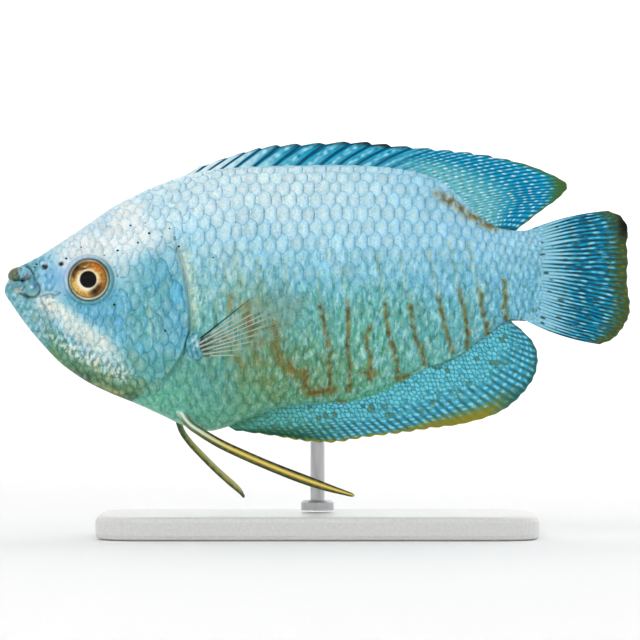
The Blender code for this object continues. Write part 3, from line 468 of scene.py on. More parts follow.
def paint(x, z):
    """The colour of the skin at a place seen from the side, as sRGB shares."""
    x, z = np.asarray(x, float), np.asarray(z, float)
    uneven, patchy = waves(x, z, 6.0, 3), waves(x, z * 0.8, 2.6, 5)
    level = z + 1.5 * uneven + 1.3 * waves(x, z * 0.25, 1.5, 14)
    bright = ease(0.25, 0.95, waves(x, z * 0.35, 2.0, 15)) * ease(36.0, 41.0, x)
    colour = laid(even(x, CYAN), [
        (SKY, ease(-0.5, 7.0, z + uneven * 1.2)),
        (PALE, 0.9 * ease(5.5, 12.5, z + uneven) * ease(56, 32, x)),
        (TEAL, ease(2.5, -5.0, level) * ease(66, 58, x)),
        ((0.40, 0.74, 0.62), 0.7 * blob(x, z, (49.0, -4.6), (9.0, 3.6), -0.1)),
        (SEA_GREEN, ease(-5.0, -11.0, level)),
        ((0.58, 0.86, 0.92), 0.55 * bright * ease(-11.5, -8.0, z) * ease(4.0, 0.0, z)),
        ((0.86, 0.90, 0.86), 0.40 * blob(x, z, (27.5, 0.5), (3.5, 5.0)) * (0.8 + 0.4 * patchy)),
        (OLIVE, 0.95 * blob(x, z, (34.0, -11.0), (10.0, 4.6), 0.1) * (0.8 + 0.3 * patchy)),
        (BLUE, 0.28 * ease(44, 60, x)),
        ((0.28, 0.64, 0.66), 0.6 * blob(x, z, (26.5, -11.5), (4.0, 3.4))),
        ((0.74, 0.76, 0.52), 0.45 * blob(x, z, (31.0, -1.0), (3.6, 3.6)) * (0.7 + 0.5 * patchy)),
    ])
    for k, line in enumerate(FAINT_BARS):
        wavering = (0.45 + 0.25 * np.sin(z * 5.0 + k)) * stroke(x + 0.1 * np.sin(z * 4 + k), z, line, 0.2)
        colour = mix(colour, (0.66, 0.66, 0.42), wavering)
    dark, gold, below = bar_share(x, z) * ease(5.0, -1.5, z), gold_share(x, z), border_gap(x, z)
    gilded = ease(0.1, 0.9, waves(x, z * 0.6, 1.3, 18)) * blob(x, z, (32.5, -7.5), (5.5, 5.5))
    root_marks = stroke(x, z, DORSAL_ROOT_MARKS, 0.50)
    tail_lines = ease(0.2, 1.0, np.sin((z - 1.8) * 12.0 + 0.6 * patchy))
    colour = laid(colour, [
        ((0.50, 0.47, 0.18), 0.95 * ease(0.08, 0.55, dark)),
        (BROWN, ease(0.52, 1.0, dark) * (0.72 + 0.4 * waves(x, z, 0.7, 9))),
        ((0.56, 0.46, 0.13), gold),
        (BROWN, 0.55 * ease(0.70, 1.15, gold)),
        ((0.44, 0.80, 0.88), 0.9 * ease(0.10, -0.25, below) * ease(32.0, 38.0, x)),
        (BROWN, 0.85 * bell(below, 0.0, 0.26) * ease(51.5, 53.5, x) * (0.75 + 0.35 * waves(x, z, 0.8, 12))),
        ((0.58, 0.53, 0.22), 0.65 * gilded),
        ((0.50, 0.38, 0.12), root_marks * (0.85 + 0.5 * waves(x, z, 1.2, 16))),
        (BROWN, 0.9 * root_marks * ease(0.1, 0.8, waves(x, z, 0.8, 17))),
        ((0.36, 0.62, 0.74), 0.5 * ease(65.5, 68.2, x) * tail_lines),
    ])
    return np.clip(head_paint(x, z, colour, uneven, patchy), 0, 1)


def nape_share(x, z):
    """How much a place lies on the white nape and forehead."""
    crown = z - (2.6 + 0.42 * (x - 5.0)) + 0.9 * waves(x, z, 6.0, 3)
    front = ease(-5.4, -2.2, crown) * ease(5.0, 8.0, x)
    return front * (1 - 0.6 * ease(-3.8, -0.6, beyond_slit(x, z)))


def cream_share(x, z):
    """How much a place lies on the cream band across the cheek."""
    return np.clip(1.5 * stroke(x, z, CHEEK_BAND, 1.2), 0, 1) * ease(16.5, 12.5, x)


def head_paint(x, z, trunk, uneven, patchy):
    """The markings of the head laid over those of the trunk, with painted shade in the cheek creases, along
    the gill opening and in the fold behind it.
    """
    fine = waves(x, z, 1.1, 51) + 0.6 * waves(x, z, 0.6, 52)
    base = head_ground(x, z, uneven, patchy, fine)
    # The creases are painted darker, as the shade in them.
    for crease in CHEEK_CREASES:
        base = mix(base, (0.18, 0.34, 0.42), (0.50 + 0.25 * fine) * stroke(x, z, crease, 0.15))
    base = mix(base, (0.76, 0.88, 0.80), 0.75 * stroke(x, z, CHEEK_EDGE, 0.16))
    base = snout_details(x, z, eye_surround(x, z, base, fine), fine)
    behind = beyond_slit(x, z)
    strip = bell(behind, 0.85, 0.65) * ease(-6.0, -3.6, z) * ease(6.6, 3.5, z)
    # thin is a dark line painted along the gill opening, as the shade in it.
    thin = ease(7.0, 4.0, z) * ease(-9.6, -6.6, z) * (0.30 + 0.30 * ease(-1.5, -5.0, z)) * (1 + 0.4 * fine)
    # fold_shadow is the painted shadow of the fold behind the lower gill opening.
    fold_shadow = bell(behind, 0.6, 0.7) * ease(-6.0, -8.0, z) * ease(-14.5, -12.5, z)
    return laid(base, [
        (trunk, ease(-0.15, 0.15, behind)),
        ((0.96, 0.95, 0.80), 0.85 * strip * (0.8 + 0.4 * fine)),
        ((0.10, 0.20, 0.24), thin * bell(behind, 0.18, 0.17)),
        ((0.26, 0.55, 0.52), 0.6 * fold_shadow * (1 + 0.5 * fine)),
        (trunk, ease(8.0, 10.5, z) * ease(-3.5, -0.5, behind)),
    ])


def head_ground(x, z, uneven, patchy, fine):
    """The broad patches of the head: white nape, cream cheek, green throat, pitted snout, with painted shade
    along the top edge and the throat's lower edge.
    """
    throat = z - curve(BELLY, x)
    pitted, (border, chance) = snout_share(x, z), cobbles(x, z, 0.9, 5)
    specks = stroke(x, z, CHEEK_SPECKS, 1.6) * ease(0.9, 2.6, throat)
    return laid(even(x, (0.40, 0.74, 0.84)), [
        ((0.60, 0.83, 0.90), ease(1.0, 5.0, z + uneven)),
        ((1.0, 1.0, 0.98), nape_share(x, z) * (0.98 + 0.12 * fine)),
        # Painted shade: a bluer grey along the rounded top edge of the head.
        ((0.74, 0.88, 0.94), 0.6 * ease(2.6, 0.4, curve(BACK, x) - z + uneven) * (x > 5)),
        ((0.44, 0.72, 0.90), 0.85 * blob(x, z, (6.2, 1.4), (2.8, 2.2))),
        ((0.76, 0.91, 0.95), 0.85 * blob(x, z, (15.2, 2.2), (3.0, 2.1))),
        ((0.36, 0.72, 0.88), 0.7 * blob(x, z, (13.5, -3.2), (5.0, 1.8))),
        ((0.30, 0.68, 0.76), 0.8 * blob(x, z, (19.6, 0.0), (3.0, 4.0))),
        ((0.38, 0.70, 0.68), 0.75 * blob(x, z, (17.6, -4.4), (2.2, 3.8))),
        ((0.36, 0.68, 0.62), 0.9 * ease(-6.5, -9.5, z) * ease(12, 16, x)),
        ((0.45, 0.72, 0.75), ease(5.6, 3.6, x + z * 0.1)),
        ((0.34, 0.68, 0.80), 0.7 * stroke(x, z, [(5.2, -6.6), (7.4, -8.4), (10.0, -10.0)], 0.8)),
        ((0.32, 0.55, 0.34), ease(4.2, 2.2, throat + 0.5 * patchy) * ease(3.8, 6.4, x)),
        # Painted shade: the throat's lower edge darkened to deep green where it turns under.
        ((0.12, 0.28, 0.08), 0.9 * ease(1.8, 0.6, throat) * ease(7, 11, x)),
        ((0.72, 0.76, 0.42), 0.7 * stroke(x, z, [(11.5, -11.8), (15.0, -13.2)], 0.4)),
        ((1.0, 0.99, 0.92), cream_share(x, z) * (0.92 + 0.15 * fine)),
        ((1.0, 0.99, 0.93), specks * ease(-0.35, 0.35, fine)),
        ((0.30, 0.50, 0.46), 0.5 * specks * ease(0.0, -0.8, fine)),
        ((0.80, 0.92, 0.97), pitted * (0.5 * ease(0.5, 1.2, fine) + 0.35 * (chance > 0.7))),
        ((0.20, 0.46, 0.58), pitted * (0.42 * ease(-0.2, -1.0, fine) + 0.16 * border)),
    ])


def eye_surround(x, z, base, fine):
    """The rim of the socket laid over the head's colours: painted light on its upper left, painted shade on
    its lower right and in the gap round the eye, a thin pale ring, and a dark line that painted shade makes
    stronger on the lower right.
    """
    reach = eye_reach(x, z)
    # lit_upper_left is 1 on the upper left, where the socket is painted lit, and 0 on the lower right, where
    # it is painted shaded.
    lit_upper_left = ease(-0.4, 1.0, (z - EYE[1] - x + EYE[0]) / 3.0)
    return laid(base, [
        ((0.70, 0.82, 0.92), 0.9 * lit_upper_left * ease(3.35, 3.0, reach)),
        ((0.34, 0.62, 0.64), 0.9 * (1 - lit_upper_left) * ease(3.3, 3.0, reach)),
        ((0.84, 0.92, 0.95), 0.6 * bell(reach, 2.84, 0.09) * (0.6 + 0.5 * fine)),
        ((0.16, 0.38, 0.50), 0.6 * (1.1 - 0.7 * lit_upper_left) * bell(reach, 3.2, 0.1)),
        # Painted shade in the gap between the eye and its rim.
        ((0.10, 0.24, 0.26), ease(2.74, 2.6, reach) * (1 - 0.7 * lit_upper_left)),
    ])


def snout_details(x, z, base, fine):
    """The nostrils, the knob and the creases round the mouth, with a painted highlight on the knob and
    painted shade in the nostrils, mouth and creases and on the knob's lower right.
    """
    for nx, nz, size in NOSTRILS:
        pit = blob(x, z, (nx, nz), (size, size * 0.85)) * (1.7 + 0.4 * fine)
        base = laid(base, [
            # The nostril pits painted dark brown, as the shade in them.
            ((0.13, 0.09, 0.07), ease(0.35, 1.0, pit)),
            ((0.45, 0.30, 0.16), 0.6 * blob(x, z, (nx + size * 0.6, nz + 0.1), (0.14, 0.2))),
        ])
    knob = knob_reach(x, z)
    below = ease(-0.9, 0.4, x - JAW_KNOB[0] - z + JAW_KNOB[1])
    return laid(base, [
        ((0.38, 0.66, 0.72), 0.7 * ease(1.1, 0.8, knob)),
        ((0.12, 0.36, 0.56), 0.8 * blob(x, z, (4.0, 0.5), (0.36, 0.4))),
        ((0.72, 0.78, 0.62), 0.7 * blob(x, z, (3.7, -0.55), (0.45, 0.22))),
        # A painted highlight on the knob.
        ((0.90, 0.96, 0.98), 0.9 * blob(x, z, (3.6, 0.36), (0.26, 0.2))),
        # Painted shade on the lower right of the knob's edge.
        ((0.08, 0.16, 0.18), (0.55 + 0.2 * fine) * below * bell(knob, 1.1, 0.14)),
        ((0.34, 0.50, 0.48), 0.7 * blob(x, z, (1.7, 1.9), (1.1, 1.3))),
        # Painted shade in the corner of the mouth.
        ((0.06, 0.06, 0.05), 0.9 * blob(x, z, MOUTH, (0.5, 0.22), 0.35)),
        ((0.82, 0.74, 0.68), 0.7 * stroke(x, z, [(1.5, 0.1), (2.0, -0.3)], 0.26)),
        # Painted shade in the creases under the lower lip and along the lip's groove.
        ((0.12, 0.16, 0.15), 0.7 * stroke(x, z, [(2.1, -0.45), (2.6, -0.7), (3.1, -1.0)], 0.16)),
        ((0.14, 0.26, 0.32), 0.40 * stroke(x, z, LIP_GROOVE, 0.17)),
    ])


# Meshes and materials


def node(tree, kind, values=None):
    """A new shader node with values for its inputs."""
    made = tree.nodes.new("ShaderNode" + kind)
    fill(tree, made, values or {})
    return made


def fill(tree, made, values):
    """Sets the inputs of a node to numbers, or links them to the outputs of other nodes."""
    for name, value in values.items():
        if isinstance(value, bpy.types.NodeSocket):
            tree.links.new(value, made.inputs[name])
        else:
            made.inputs[name].default_value = value


def ranged(tree, value, low, high, start=0.0, end=1.0):
    """A value between low and high, taken to the range from start to end."""
    limits = {"From Min": low, "From Max": high, "To Min": start, "To Max": end}
    return node(tree, "MapRange", {"Value": value, **limits}).outputs["Result"]


def new_material(name):
    """A new material, its nodes, and where a place lies in its object."""
    made = bpy.data.materials.new(name)
    made.use_nodes = True
    tree = made.node_tree
    return made, tree, node(tree, "TexCoord").outputs["Object"]


def flecked_colour(tree, where, colour):
    """Lays fine upright flecks over a colour, as strong as the piece says."""
    strength = node(tree, "Attribute")
    strength.attribute_name = "Flecks"
    for kind, fleck, low, high, pattern, size in FLECK_LAYERS:
        turned = node(tree, "Mapping", {"Vector": where, "Scale": size}).outputs["Vector"]
        fine = {"Detail": 3.0} if pattern == "Noise" else {}
        texture = node(tree, "Tex" + pattern, {"Vector": turned, "Scale": 1.0, **fine})
        share = ranged(tree, texture.outputs["Fac" if pattern == "Noise" else "Distance"], low, high)
        weight = node(tree, "Math")
        weight.operation = "MULTIPLY"
        fill(tree, weight, {0: share, 1: strength.outputs["Fac"]})
        blend = node(tree, "Mix")
        blend.data_type, blend.blend_type = "RGBA", kind
        fill(tree, blend, {"Factor": weight.outputs["Value"], "A": colour, "B": fleck})
        colour = blend.outputs["Result"]
    return colour


def material(name, roughness, coat, specular, bump_size=0.00006, bump_grain=9000.0, tint=0.06, alpha=1.0,
             flecked=False):
    """Skin, fins and eyes: the painted markings, finely mottled, under a satin coat with a fine grain."""
    made, tree, where = new_material(name)
    painted = node(tree, "VertexColor")
    painted.layer_name = "Paint"
    colour = painted.outputs["Color"]
    if flecked:
        colour = flecked_colour(tree, where, colour)
    grain = node(tree, "TexNoise", {"Vector": where, "Scale": bump_grain, "Detail": 3.0}).outputs["Fac"]
    level = ranged(tree, grain, 0.3, 0.7, 1 - tint, 1 + tint)
    toned = node(tree, "HueSaturation", {"Color": colour, "Value": level})
    bump = node(tree, "Bump", {"Height": grain, "Strength": 0.35, "Distance": bump_size})
    fill(tree, tree.nodes["Principled BSDF"], {
        "Base Color": toned.outputs["Color"],
        "Roughness": ranged(tree, grain, 0.0, 1.0, roughness - 0.08, roughness + 0.08),
        "Normal": bump.outputs["Normal"],
        "Specular IOR Level": specular,
        "Coat Weight": coat,
        "Coat Roughness": 0.15,
        "Alpha": alpha,
    })
    return made


def linked(name, data):
    """A new object, put in the scene."""
    made = bpy.data.objects.new(name, data)
    bpy.context.scene.collection.objects.link(made)
    return made


def smooth_mesh(name, points, faces, finish):
    """A mesh with smooth shading and one material."""
    mesh = bpy.data.meshes.new(name)
    mesh.from_pydata(points, [], faces)
    mesh.polygons.foreach_set("use_smooth", [True] * len(mesh.polygons))
    mesh.materials.append(finish)
    return mesh


def mesh_object(name, points, faces, colours, finish, stands_for=(), uv=None, flecks=None):
    """A smooth painted piece that rides on the model. flecks is how strongly they show at each point."""
    faces = faces if isinstance(faces, list) else faces.tolist()
    mesh = smooth_mesh(name, points.reshape(-1, 3).tolist(), faces, finish)
    rgba = np.ones((len(mesh.vertices), 4), np.float32)
    rgba[:, :3] = linear(colours).reshape(-1, 3)
    mesh.color_attributes.new("Paint", "FLOAT_COLOR", "POINT").data.foreach_set("color", rgba.ravel())
    if flecks is not None:
        strength = mesh.attributes.new("Flecks", "FLOAT", "POINT")
        strength.data.foreach_set("value", flecks.astype(np.float32).ravel())
    if uv is not None:
        layer = mesh.uv_layers.new(name="OFBake")
        corners = np.zeros(len(mesh.loops), np.int32)
        mesh.loops.foreach_get("vertex_index", corners)
        layer.data.foreach_set("uv", uv.reshape(-1, 2)[corners].astype(np.float32).ravel())
    made = linked(name, mesh)
    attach(made, "root")
    if stands_for:
        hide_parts(*stands_for)
    return made


def grid_faces(rows, columns, start=0, wrap=False):
    """Quads between rows of points, each row of the same number."""
    i, j = np.meshgrid(np.arange(rows - 1), np.arange(columns if wrap else columns - 1), indexing="ij")
    n = (j + 1) % columns
    return np.stack([i * columns + j, i * columns + n, (i + 1) * columns + n, (i + 1) * columns + j],
                    -1).reshape(-1, 4) + start


def grid_rim(rows, columns):
    """Points round the edge of such a grid, first down the first point of each row."""
    ends = [[i * columns + j for i in range(rows)] for j in (0, columns - 1)]
    last_row = [(rows - 1) * columns + j for j in range(1, columns)]
    return ends[0] + last_row + ends[1][-2::-1] + list(range(columns - 2, 0, -1))


def closed_faces(rows, columns, start=0):
    """Faces of a closed strand: quads from ring to ring, and a cap on each end."""
    last = start + (rows - 1) * columns
    caps = [list(range(start, start + columns))[::-1], list(range(last, last + columns))]
    return grid_faces(rows, columns, start, wrap=True).tolist() + caps


def skin_piece():
    """One skin over head, trunk and tail stalk, with the relief of the head."""
    x = np.concatenate([
        BODY_START + 0.9 * np.linspace(0, 1, 14) ** 1.3,
        np.arange(1.08, 14.5, 0.085), np.arange(14.5, 25.0, 0.17), np.arange(25.0, 68.4, 0.6), [BODY_END],
    ])
    turn = circle(SKIN_AROUND)
    turn = turn + 0.12 * np.sin(2 * turn)
    xs, ts = np.meshgrid(x, turn, indexing="ij")
    side = np.where(np.cos(ts) >= 0, 1.0, -1.0)
    y, z = section(xs, ts)
    step = 0.05
    slope_x = (half_width(xs + step, z) - half_width(xs - step, z)) / (2 * step)
    slope_z = (half_width(xs, z + step) - half_width(xs, z - step)) / (2 * step)
    normal = np.stack([-slope_x, np.ones_like(xs), -slope_z], -1)
    normal /= np.linalg.norm(normal, axis=-1, keepdims=True)
    push = relief(xs, z) * ease(0.0, 0.35, y / curve(HALF_WIDTH, xs))
    points = place(xs + push * normal[..., 0], side * (y + push * normal[..., 1]), z + push * normal[..., 2])
    colours = paint(xs, z) * (1 + 0.03 * waves(xs, z, 0.9, 11))[..., None]
    faces = [face[::-1] for face in closed_faces(len(x), SKIN_AROUND)]
    mesh_object("skin", points, faces, colours, SKIN, FLESH)


# Scales


def scale_template():
    """One scale: rows from its root (0) to its rear edge (1), closed below, with a blunt rounded rear.

    Each point is (along, across, 1 on top or 0 below, 1 on the rim or 0 inside it).
    """
    rows = [0.0, 0.26, 0.42, 0.54, 0.65, 0.75, 0.83, 0.90, 0.95, 0.985, 1.0]
    across = [-1.0, -0.94, -0.80, -0.45, 0.0, 0.45, 0.80, 0.94, 1.0]
    top = []
    for a in rows:
        spread = (1 - (max(a - 0.52, 0) / 0.49) ** 2.3) ** (1 / 2.3) - 0.2 * max(0.4 - a, 0)
        for b in across:
            rim = max(float(ease(0.84, 0.97, abs(b))), float(ease(0.92, 0.975, a)))
            top.append((a, b * spread, 1.0, rim))
    columns = len(across)
    rim = [0] + grid_rim(len(rows), columns)[:0:-1]
    points = top + [(top[k][0], top[k][1], 0.0, 1.0) for k in rim] + [(0.5, 0.0, 0.0, 0.0)]
    faces = grid_faces(len(rows), columns)[:, [0, 1, 2, 0, 2, 3]].reshape(-1, 3).tolist()
    low, hub = len(top), len(points) - 1
    for k in range(len(rim)):
        n = (k + 1) % len(rim)
        faces += [(rim[k], low + k, low + n), (rim[k], low + n, rim[n]), (low + k, hub, low + n)]
    return np.array(points), np.array(faces)


def scale_rows():
    """Roots of the scales as (x, distance from the middle line, length, width), row by row."""
    draw = random.Random(SEED)
    columns = stepped(SCALES_START, SCALES_END, lambda x: curve(SCALE_PITCH, x))
    above = stepped(0.0, ROWS_REACH, lambda level: curve(ROW_PITCH, level))
    below = stepped(0.0, ROWS_REACH, lambda level: curve(ROW_PITCH, -level))
    lines = list(enumerate(above)) + [(-k, -level) for k, level in enumerate(below) if k]
    found = []
    for row, level in lines:
        for x, after in zip(columns, columns[1:]):
            pitch, on_head = after - x, x < HEAD_END
            loose = SCALE_LOOSE[0 if on_head else 1]
            here = x + pitch * ((0.5 if row % 2 else 0.0) + draw.uniform(-loose, loose))
            closing = float(curve(ROW_CLOSING, here))
            spacing = float(curve(ROW_PITCH, level)) * closing
            low, high = (float(np.interp(here, STATIONS, ENDS[:, end])) for end in (0, 1))
            arc = level * closing + spacing * draw.uniform(-loose, loose)
            if low + 0.3 < arc < high - 0.3:
                small = 0.86 + 0.14 * float(ease(0.5, 4.0, min(arc - low, high - arc)))
                small *= draw.uniform(0.85, 1.15) if on_head else draw.uniform(0.93, 1.05)
                found.append((here, arc, pitch * (1.9 if on_head else 1.75) * small,
                              spacing * (2.0 if on_head else 1.65) * small))
    return np.array(found)


def stepped(start, end, step_at):
    """Values from start to end, each a step on from the last."""
    found = [start]
    while found[-1] < end:
        found.append(found[-1] + float(step_at(found[-1])))
    return found


def bare(x, z):
    """Where no scale has its root: the snout, the mouth, the eye and the knob of the jaw."""
    snout = ((x + 0.25 * np.abs(z + 1.0) < 7.6) & (z > -2.0)) | (np.hypot(x - 7.3, z - 3.35) < 0.9)
    jaw = (x < 3.6) | (near_line(x, z, [JAW_KNOB, (4.6, -1.2)]) < 1.6)
    return snout | jaw | (eye_reach(x, z) < 3.5)


def scale_coat(name, side, rows, start):
    """One coat of scales, each laid along the skin and lifted a little at its rear edge."""
    template, faces = scale_template()
    draw = np.random.default_rng(SEED + start + (side > 0))
    count = len(rows)
    x0, t0, length, width = rows.T
    turn = draw.normal(0, 1, count) * np.where(x0 < HEAD_END, *SCALE_TURN)
    lift = SCALE_LIFT + 0.006 * draw.random(count)
    back, across, top, rim = template.T
    run = (back[None, :] - 0.35) * length[:, None]
    out = across[None, :] * width[:, None] / 2
    x = x0[:, None] + run * np.cos(turn)[:, None] - out * np.sin(turn)[:, None]
    arc = t0[:, None] + out * np.cos(turn)[:, None] + run * np.sin(turn)[:, None]
    seen_x, _, seen_z = np.moveaxis(read(PLACES, x, arc), -1, 0)
    from_eye = eye_reach(seen_x, seen_z)
    outward = np.maximum(EYE_CLEAR - from_eye, 0) / np.maximum(from_eye, 0.5)  # keeps the eye's rim free
    x, arc = x + outward * (seen_x - EYE[0]), arc + outward * (seen_z - EYE[1])
    centre = read(PLACES, x0, t0)
    head = (beyond_slit(centre[:, 0], centre[:, 2]) < -0.35)[:, None]
    behind = beyond_slit(seen_x, seen_z)
    push = np.where(head, -np.maximum(behind + SLIT_EDGE, 0), np.maximum(SLIT_FAR - behind, 0))
    x = x + push * ease(7.6, 4.6, seen_z) * ease(-14.0, -9.0, seen_z)
    places, normals = read(PLACES, x, arc), read(NORMALS, x, arc)
    normals = normals / np.linalg.norm(normals, axis=-1, keepdims=True)
    bed = relief(places[..., 0], places[..., 2])
    bed = np.where(head, np.maximum(bed, -0.12), np.clip(bed, -0.02, 0.02))
    rise = -SCALE_SUNK + lift[:, None] * back[None, :] - 0.003 * across[None, :] ** 2 - 0.008 * rim[None, :]
    height = bed + rise + np.where(top[None, :] > 0.5, 0.0, -SCALE_THICK)
    spots = places + normals * height[..., None]
    points = place(spots[..., 0], side * spots[..., 1], spots[..., 2])
    colours, flecks = scale_colours(centre, places, template, draw, head)
    index = (np.arange(count)[:, None, None] * len(template) + faces[None]).reshape(-1, 3)
    if side > 0:
        index = index[:, ::-1]
    u = 0.02 + 0.96 * (x0 / BODY_END)
    v = 0.25 + 0.5 * (side > 0) + t0 / (2 * TABLE_REACH) * 0.48
    patch = UV_PATCH * np.stack([back - 0.5, across * 0.5], -1)
    uv = np.stack([u, v], -1)[:, None, :] + patch[None]
    made = mesh_object(name, points, index, colours, SCALES, uv=uv, flecks=flecks)
    made.data.set_sharp_from_angle(angle=math.radians(50))


def scale_colours(centre, places, template, draw, head):
    """Each scale takes the marking under it, with a pale middle painted as a highlight, a thin darker rim,
    painted shade at its root, and darker walls and underside painted as shade.
    """
    cx, cz = centre[:, 0], centre[:, 2]
    seen = places[..., 0], places[..., 2]
    count = len(cx)
    a, b, top, rim = template.T[:, None, :]
    own = paint(cx, cz)[:, None, :]
    colour = (0.12 * own + 0.88 * paint(*seen)) * (1 + draw.normal(0, 0.022, count))[:, None, None]
    warmth = draw.normal(0, 1, (count, 1)) * np.where(head, 0.16, 0.06) * (1 - own.mean(-1))
    bars = np.clip(np.maximum(bar_share(*seen), gold_share(*seen)), 0, 1) * ~head
    colour = colour * np.stack([1 + warmth, 1 + 0 * warmth, 1 - 0.5 * warmth], -1)
    upper, lower = ease(1.0, 7.0, cz)[:, None], ease(9.0, -1.5, cz)[:, None]
    smooth_belly = (ease(38.0, 30.0, cx) * ease(-4.0, -9.0, cz))[:, None]
    shade = mix(colour * 0.60, (0.16, 0.44, 0.60), 0.45)
    cream = np.where(head, np.maximum(cream_share(*seen), nape_share(*seen)), 0)
    firm = rim * (0.75 + 0.5 * draw.random((count, 1))) * (1 + 0.35 * waves(*seen, 1.2, 13))
    firm = firm * (1 - 0.6 * cream) * (1 - 0.6 * ease(0.35, 0.9, np.abs(b)) * ~head)
    colour = colour + (shade - colour) * (firm * np.where(head, 0.42, 0.27 + 0.16 * upper))[..., None]
    wide = np.maximum(ease(0.35, 0.95, np.abs(b)), ease(0.70, 0.98, a))
    colour = colour * (1 - 0.16 * wide[..., None] * np.array((1.0, 0.45, 0.10)))
    # Painted shade at the root, where the scale before covers it.
    colour = colour * (1 - 0.08 * ease(0.62, 0.40, a))[..., None]
    # bright is a painted highlight in the middle of each scale.
    bright = (0.35 + 0.25 * draw.random((count, 1))) * (1 - rim) * bell(a, 0.72, 0.16) * bell(b, 0.0, 0.6)
    colour = mix(colour, (0.92, 0.97, 0.99), bright * (1 - bars) * np.where(head, 0.55, 0.5 + 0.4 * upper))
    flecks = (0.30 + 0.70 * lower) * np.where(head, 0.6, 1.0) * (1 - 0.85 * bars) * (1 - 0.7 * cream)
    flecks = flecks * (1 - 0.45 * smooth_belly)
    # The walls and undersides are painted darker, as shade.
    return np.clip(colour * np.where(top > 0.5, 1.0, 0.7)[..., None], 0, 1), flecks


def all_scales():
    """The coats of both flanks, front and rear. Returns how many scales lie on each."""
    rows = scale_rows()
    x, _, z = read(PLACES, rows[:, 0], rows[:, 1]).T
    keep = ~bare(x, z)
    rows = rows[keep][np.argsort(-x[keep])]
    half = (len(rows) + 1) // 2
    for side, word in ((-1, "left"), (1, "right")):
        scale_coat(f"scales_rear_{word}", side, rows[:half], 0)
        scale_coat(f"scales_front_{word}", side, rows[half:], 100)
    return len(rows)


def pores(side, word):
    """Small dark pits on the head and the nape, each a low dome of its own."""
    points, faces, corners = [], [], 10
    turn = circle(corners)
    for k, (x, z) in enumerate(PORES):
        size = 0.13 + 0.05 * math.sin(k * 2.4)
        xs = x + size * np.append(np.cos(turn), 0)
        zs = z + size * 0.8 * np.append(np.sin(turn), 0)
        proud = np.append(np.full(corners, 0.035), 0.065)
        ys = half_width(xs, zs) + np.maximum(relief(xs, zs), -0.05) + proud
        points.append(place(np.append(xs, x), side * np.append(ys, ys[-1] - 0.2), np.append(zs, z)))
        first = k * (corners + 2)
        for j in range(corners):
            rim = (first + j, first + (j + 1) % corners)
            rim = rim if side < 0 else rim[::-1]
            faces += [(*rim, first + corners), (*rim[::-1], first + corners + 1)]
    colours = even(np.zeros(len(points) * (corners + 2)), INK)
    mesh_object(f"pores_{word}", np.concatenate(points), faces, colours, SKIN)


# Fins


def fin_points(roots, tips, across, shares, bow):
    """Places of a fin's sheet, seen from the side, for columns across it and shares from root to tip."""
    root, tip = along(roots, across), along(tips, across)
    length = np.hypot(*(tip - root).T)
    inner = np.clip(shares, 0, 1)
    arch = 4 * inner * (1 - inner) * (bow(across) / length)[:, None]
    dx, dz = (tip - root)[:, :1], (tip - root)[:, 1:]
    return root[:, :1] + dx * shares - dz * arch, root[:, 1:] + dz * shares + dx * arch, length


def fin_piece(name, roots, tips, rays, edge, middle, half, bow, colours, finish, stands_for, size, sink=1.0,
              split=None):
    """A rayed fin with size points across and out. Its rays fork into split where that is given.

    edge gives how far its edge is drawn in, middle its y, half its half thickness and bow how much the rays
    bow, all in millimetres. sink is how deep its root lies in the body.
    """
    across = np.linspace(0, 1, size[0])
    phase = across * (rays - 1)
    to_ray = np.abs(phase - np.round(phase))
    _, _, length = fin_points(roots, tips, across, np.zeros((size[0], 1)), bow)
    base = np.concatenate([[-1.0, -0.5], np.linspace(0, 1, size[1] - 2)])
    full = 1 - edge(across, to_ray) / length
    shares = base[None, :] * np.where(base[None, :] < 0, (sink / length)[:, None], full[:, None])
    x, z, _ = fin_points(roots, tips, across, shares, bow)
    inner = np.clip(shares, 0, 1)
    ridge = bell(to_ray[:, None], 0.0, RAY_WIDTH) * np.ones_like(inner)
    if split is not None:
        fork = np.abs(phase * split - np.round(phase * split))[:, None]
        forked = bell(fork, 0.0, 0.27)
        outer = ease(0.25, 0.6, inner)
        ridge = ridge * (1 - outer) + forked * outer
    y, thick = middle(x, z, inner), half(x, z, inner, ridge)
    near, far = place(x, y - thick, z), place(x, y + thick, z)
    shade = colours(phase[:, None] * np.ones_like(inner), inner, x, z)
    wide, high = x.shape
    total = wide * high
    front = grid_faces(wide, high)
    back = grid_faces(wide, high, total)[:, ::-1]
    rim = np.array(grid_rim(wide, high))
    turned = np.roll(rim, -1)
    wall = np.stack([rim, turned, turned + total, rim + total], -1)
    faces = np.concatenate([front[:, ::-1], back[:, ::-1], wall])
    points = np.concatenate([near.reshape(-1, 3), far.reshape(-1, 3)])
    shades = np.concatenate([shade.reshape(-1, 3)] * 2)
    mesh_object(name, points, faces, shades, finish, stands_for)


def dashes(lanes, inner, rate, seed, fill, crisp=0.8, slim=14.0):
    """Uneven dashes along the rays, lane by lane: 1 on a dash and 0 between. fill is the share of them."""
    lane = np.floor(lanes).astype(int)
    pace, start, second = np.random.default_rng(seed).random((3, 128))[:, lane % 128]
    beat = np.sin(math.tau * (inner * rate * (0.55 + 0.9 * pace) + start))
    beat = beat + 0.6 * np.sin(math.tau * (inner * rate * 1.7 + second))
    score = beat - slim * (lanes - lane - 0.5) ** 2
    return ease(0.8 - 2 * fill, 0.8 - 2 * fill + crisp, score)


def rayed(crest, groove, lanes, depth):
    """Two colours in soft stripes along the rays, the first in the middle of each lane."""
    run = 0.5 - 0.5 * np.cos(lanes * math.tau)
    return mix(even(lanes, crest), groove, depth * (1 - run) ** 1.5)


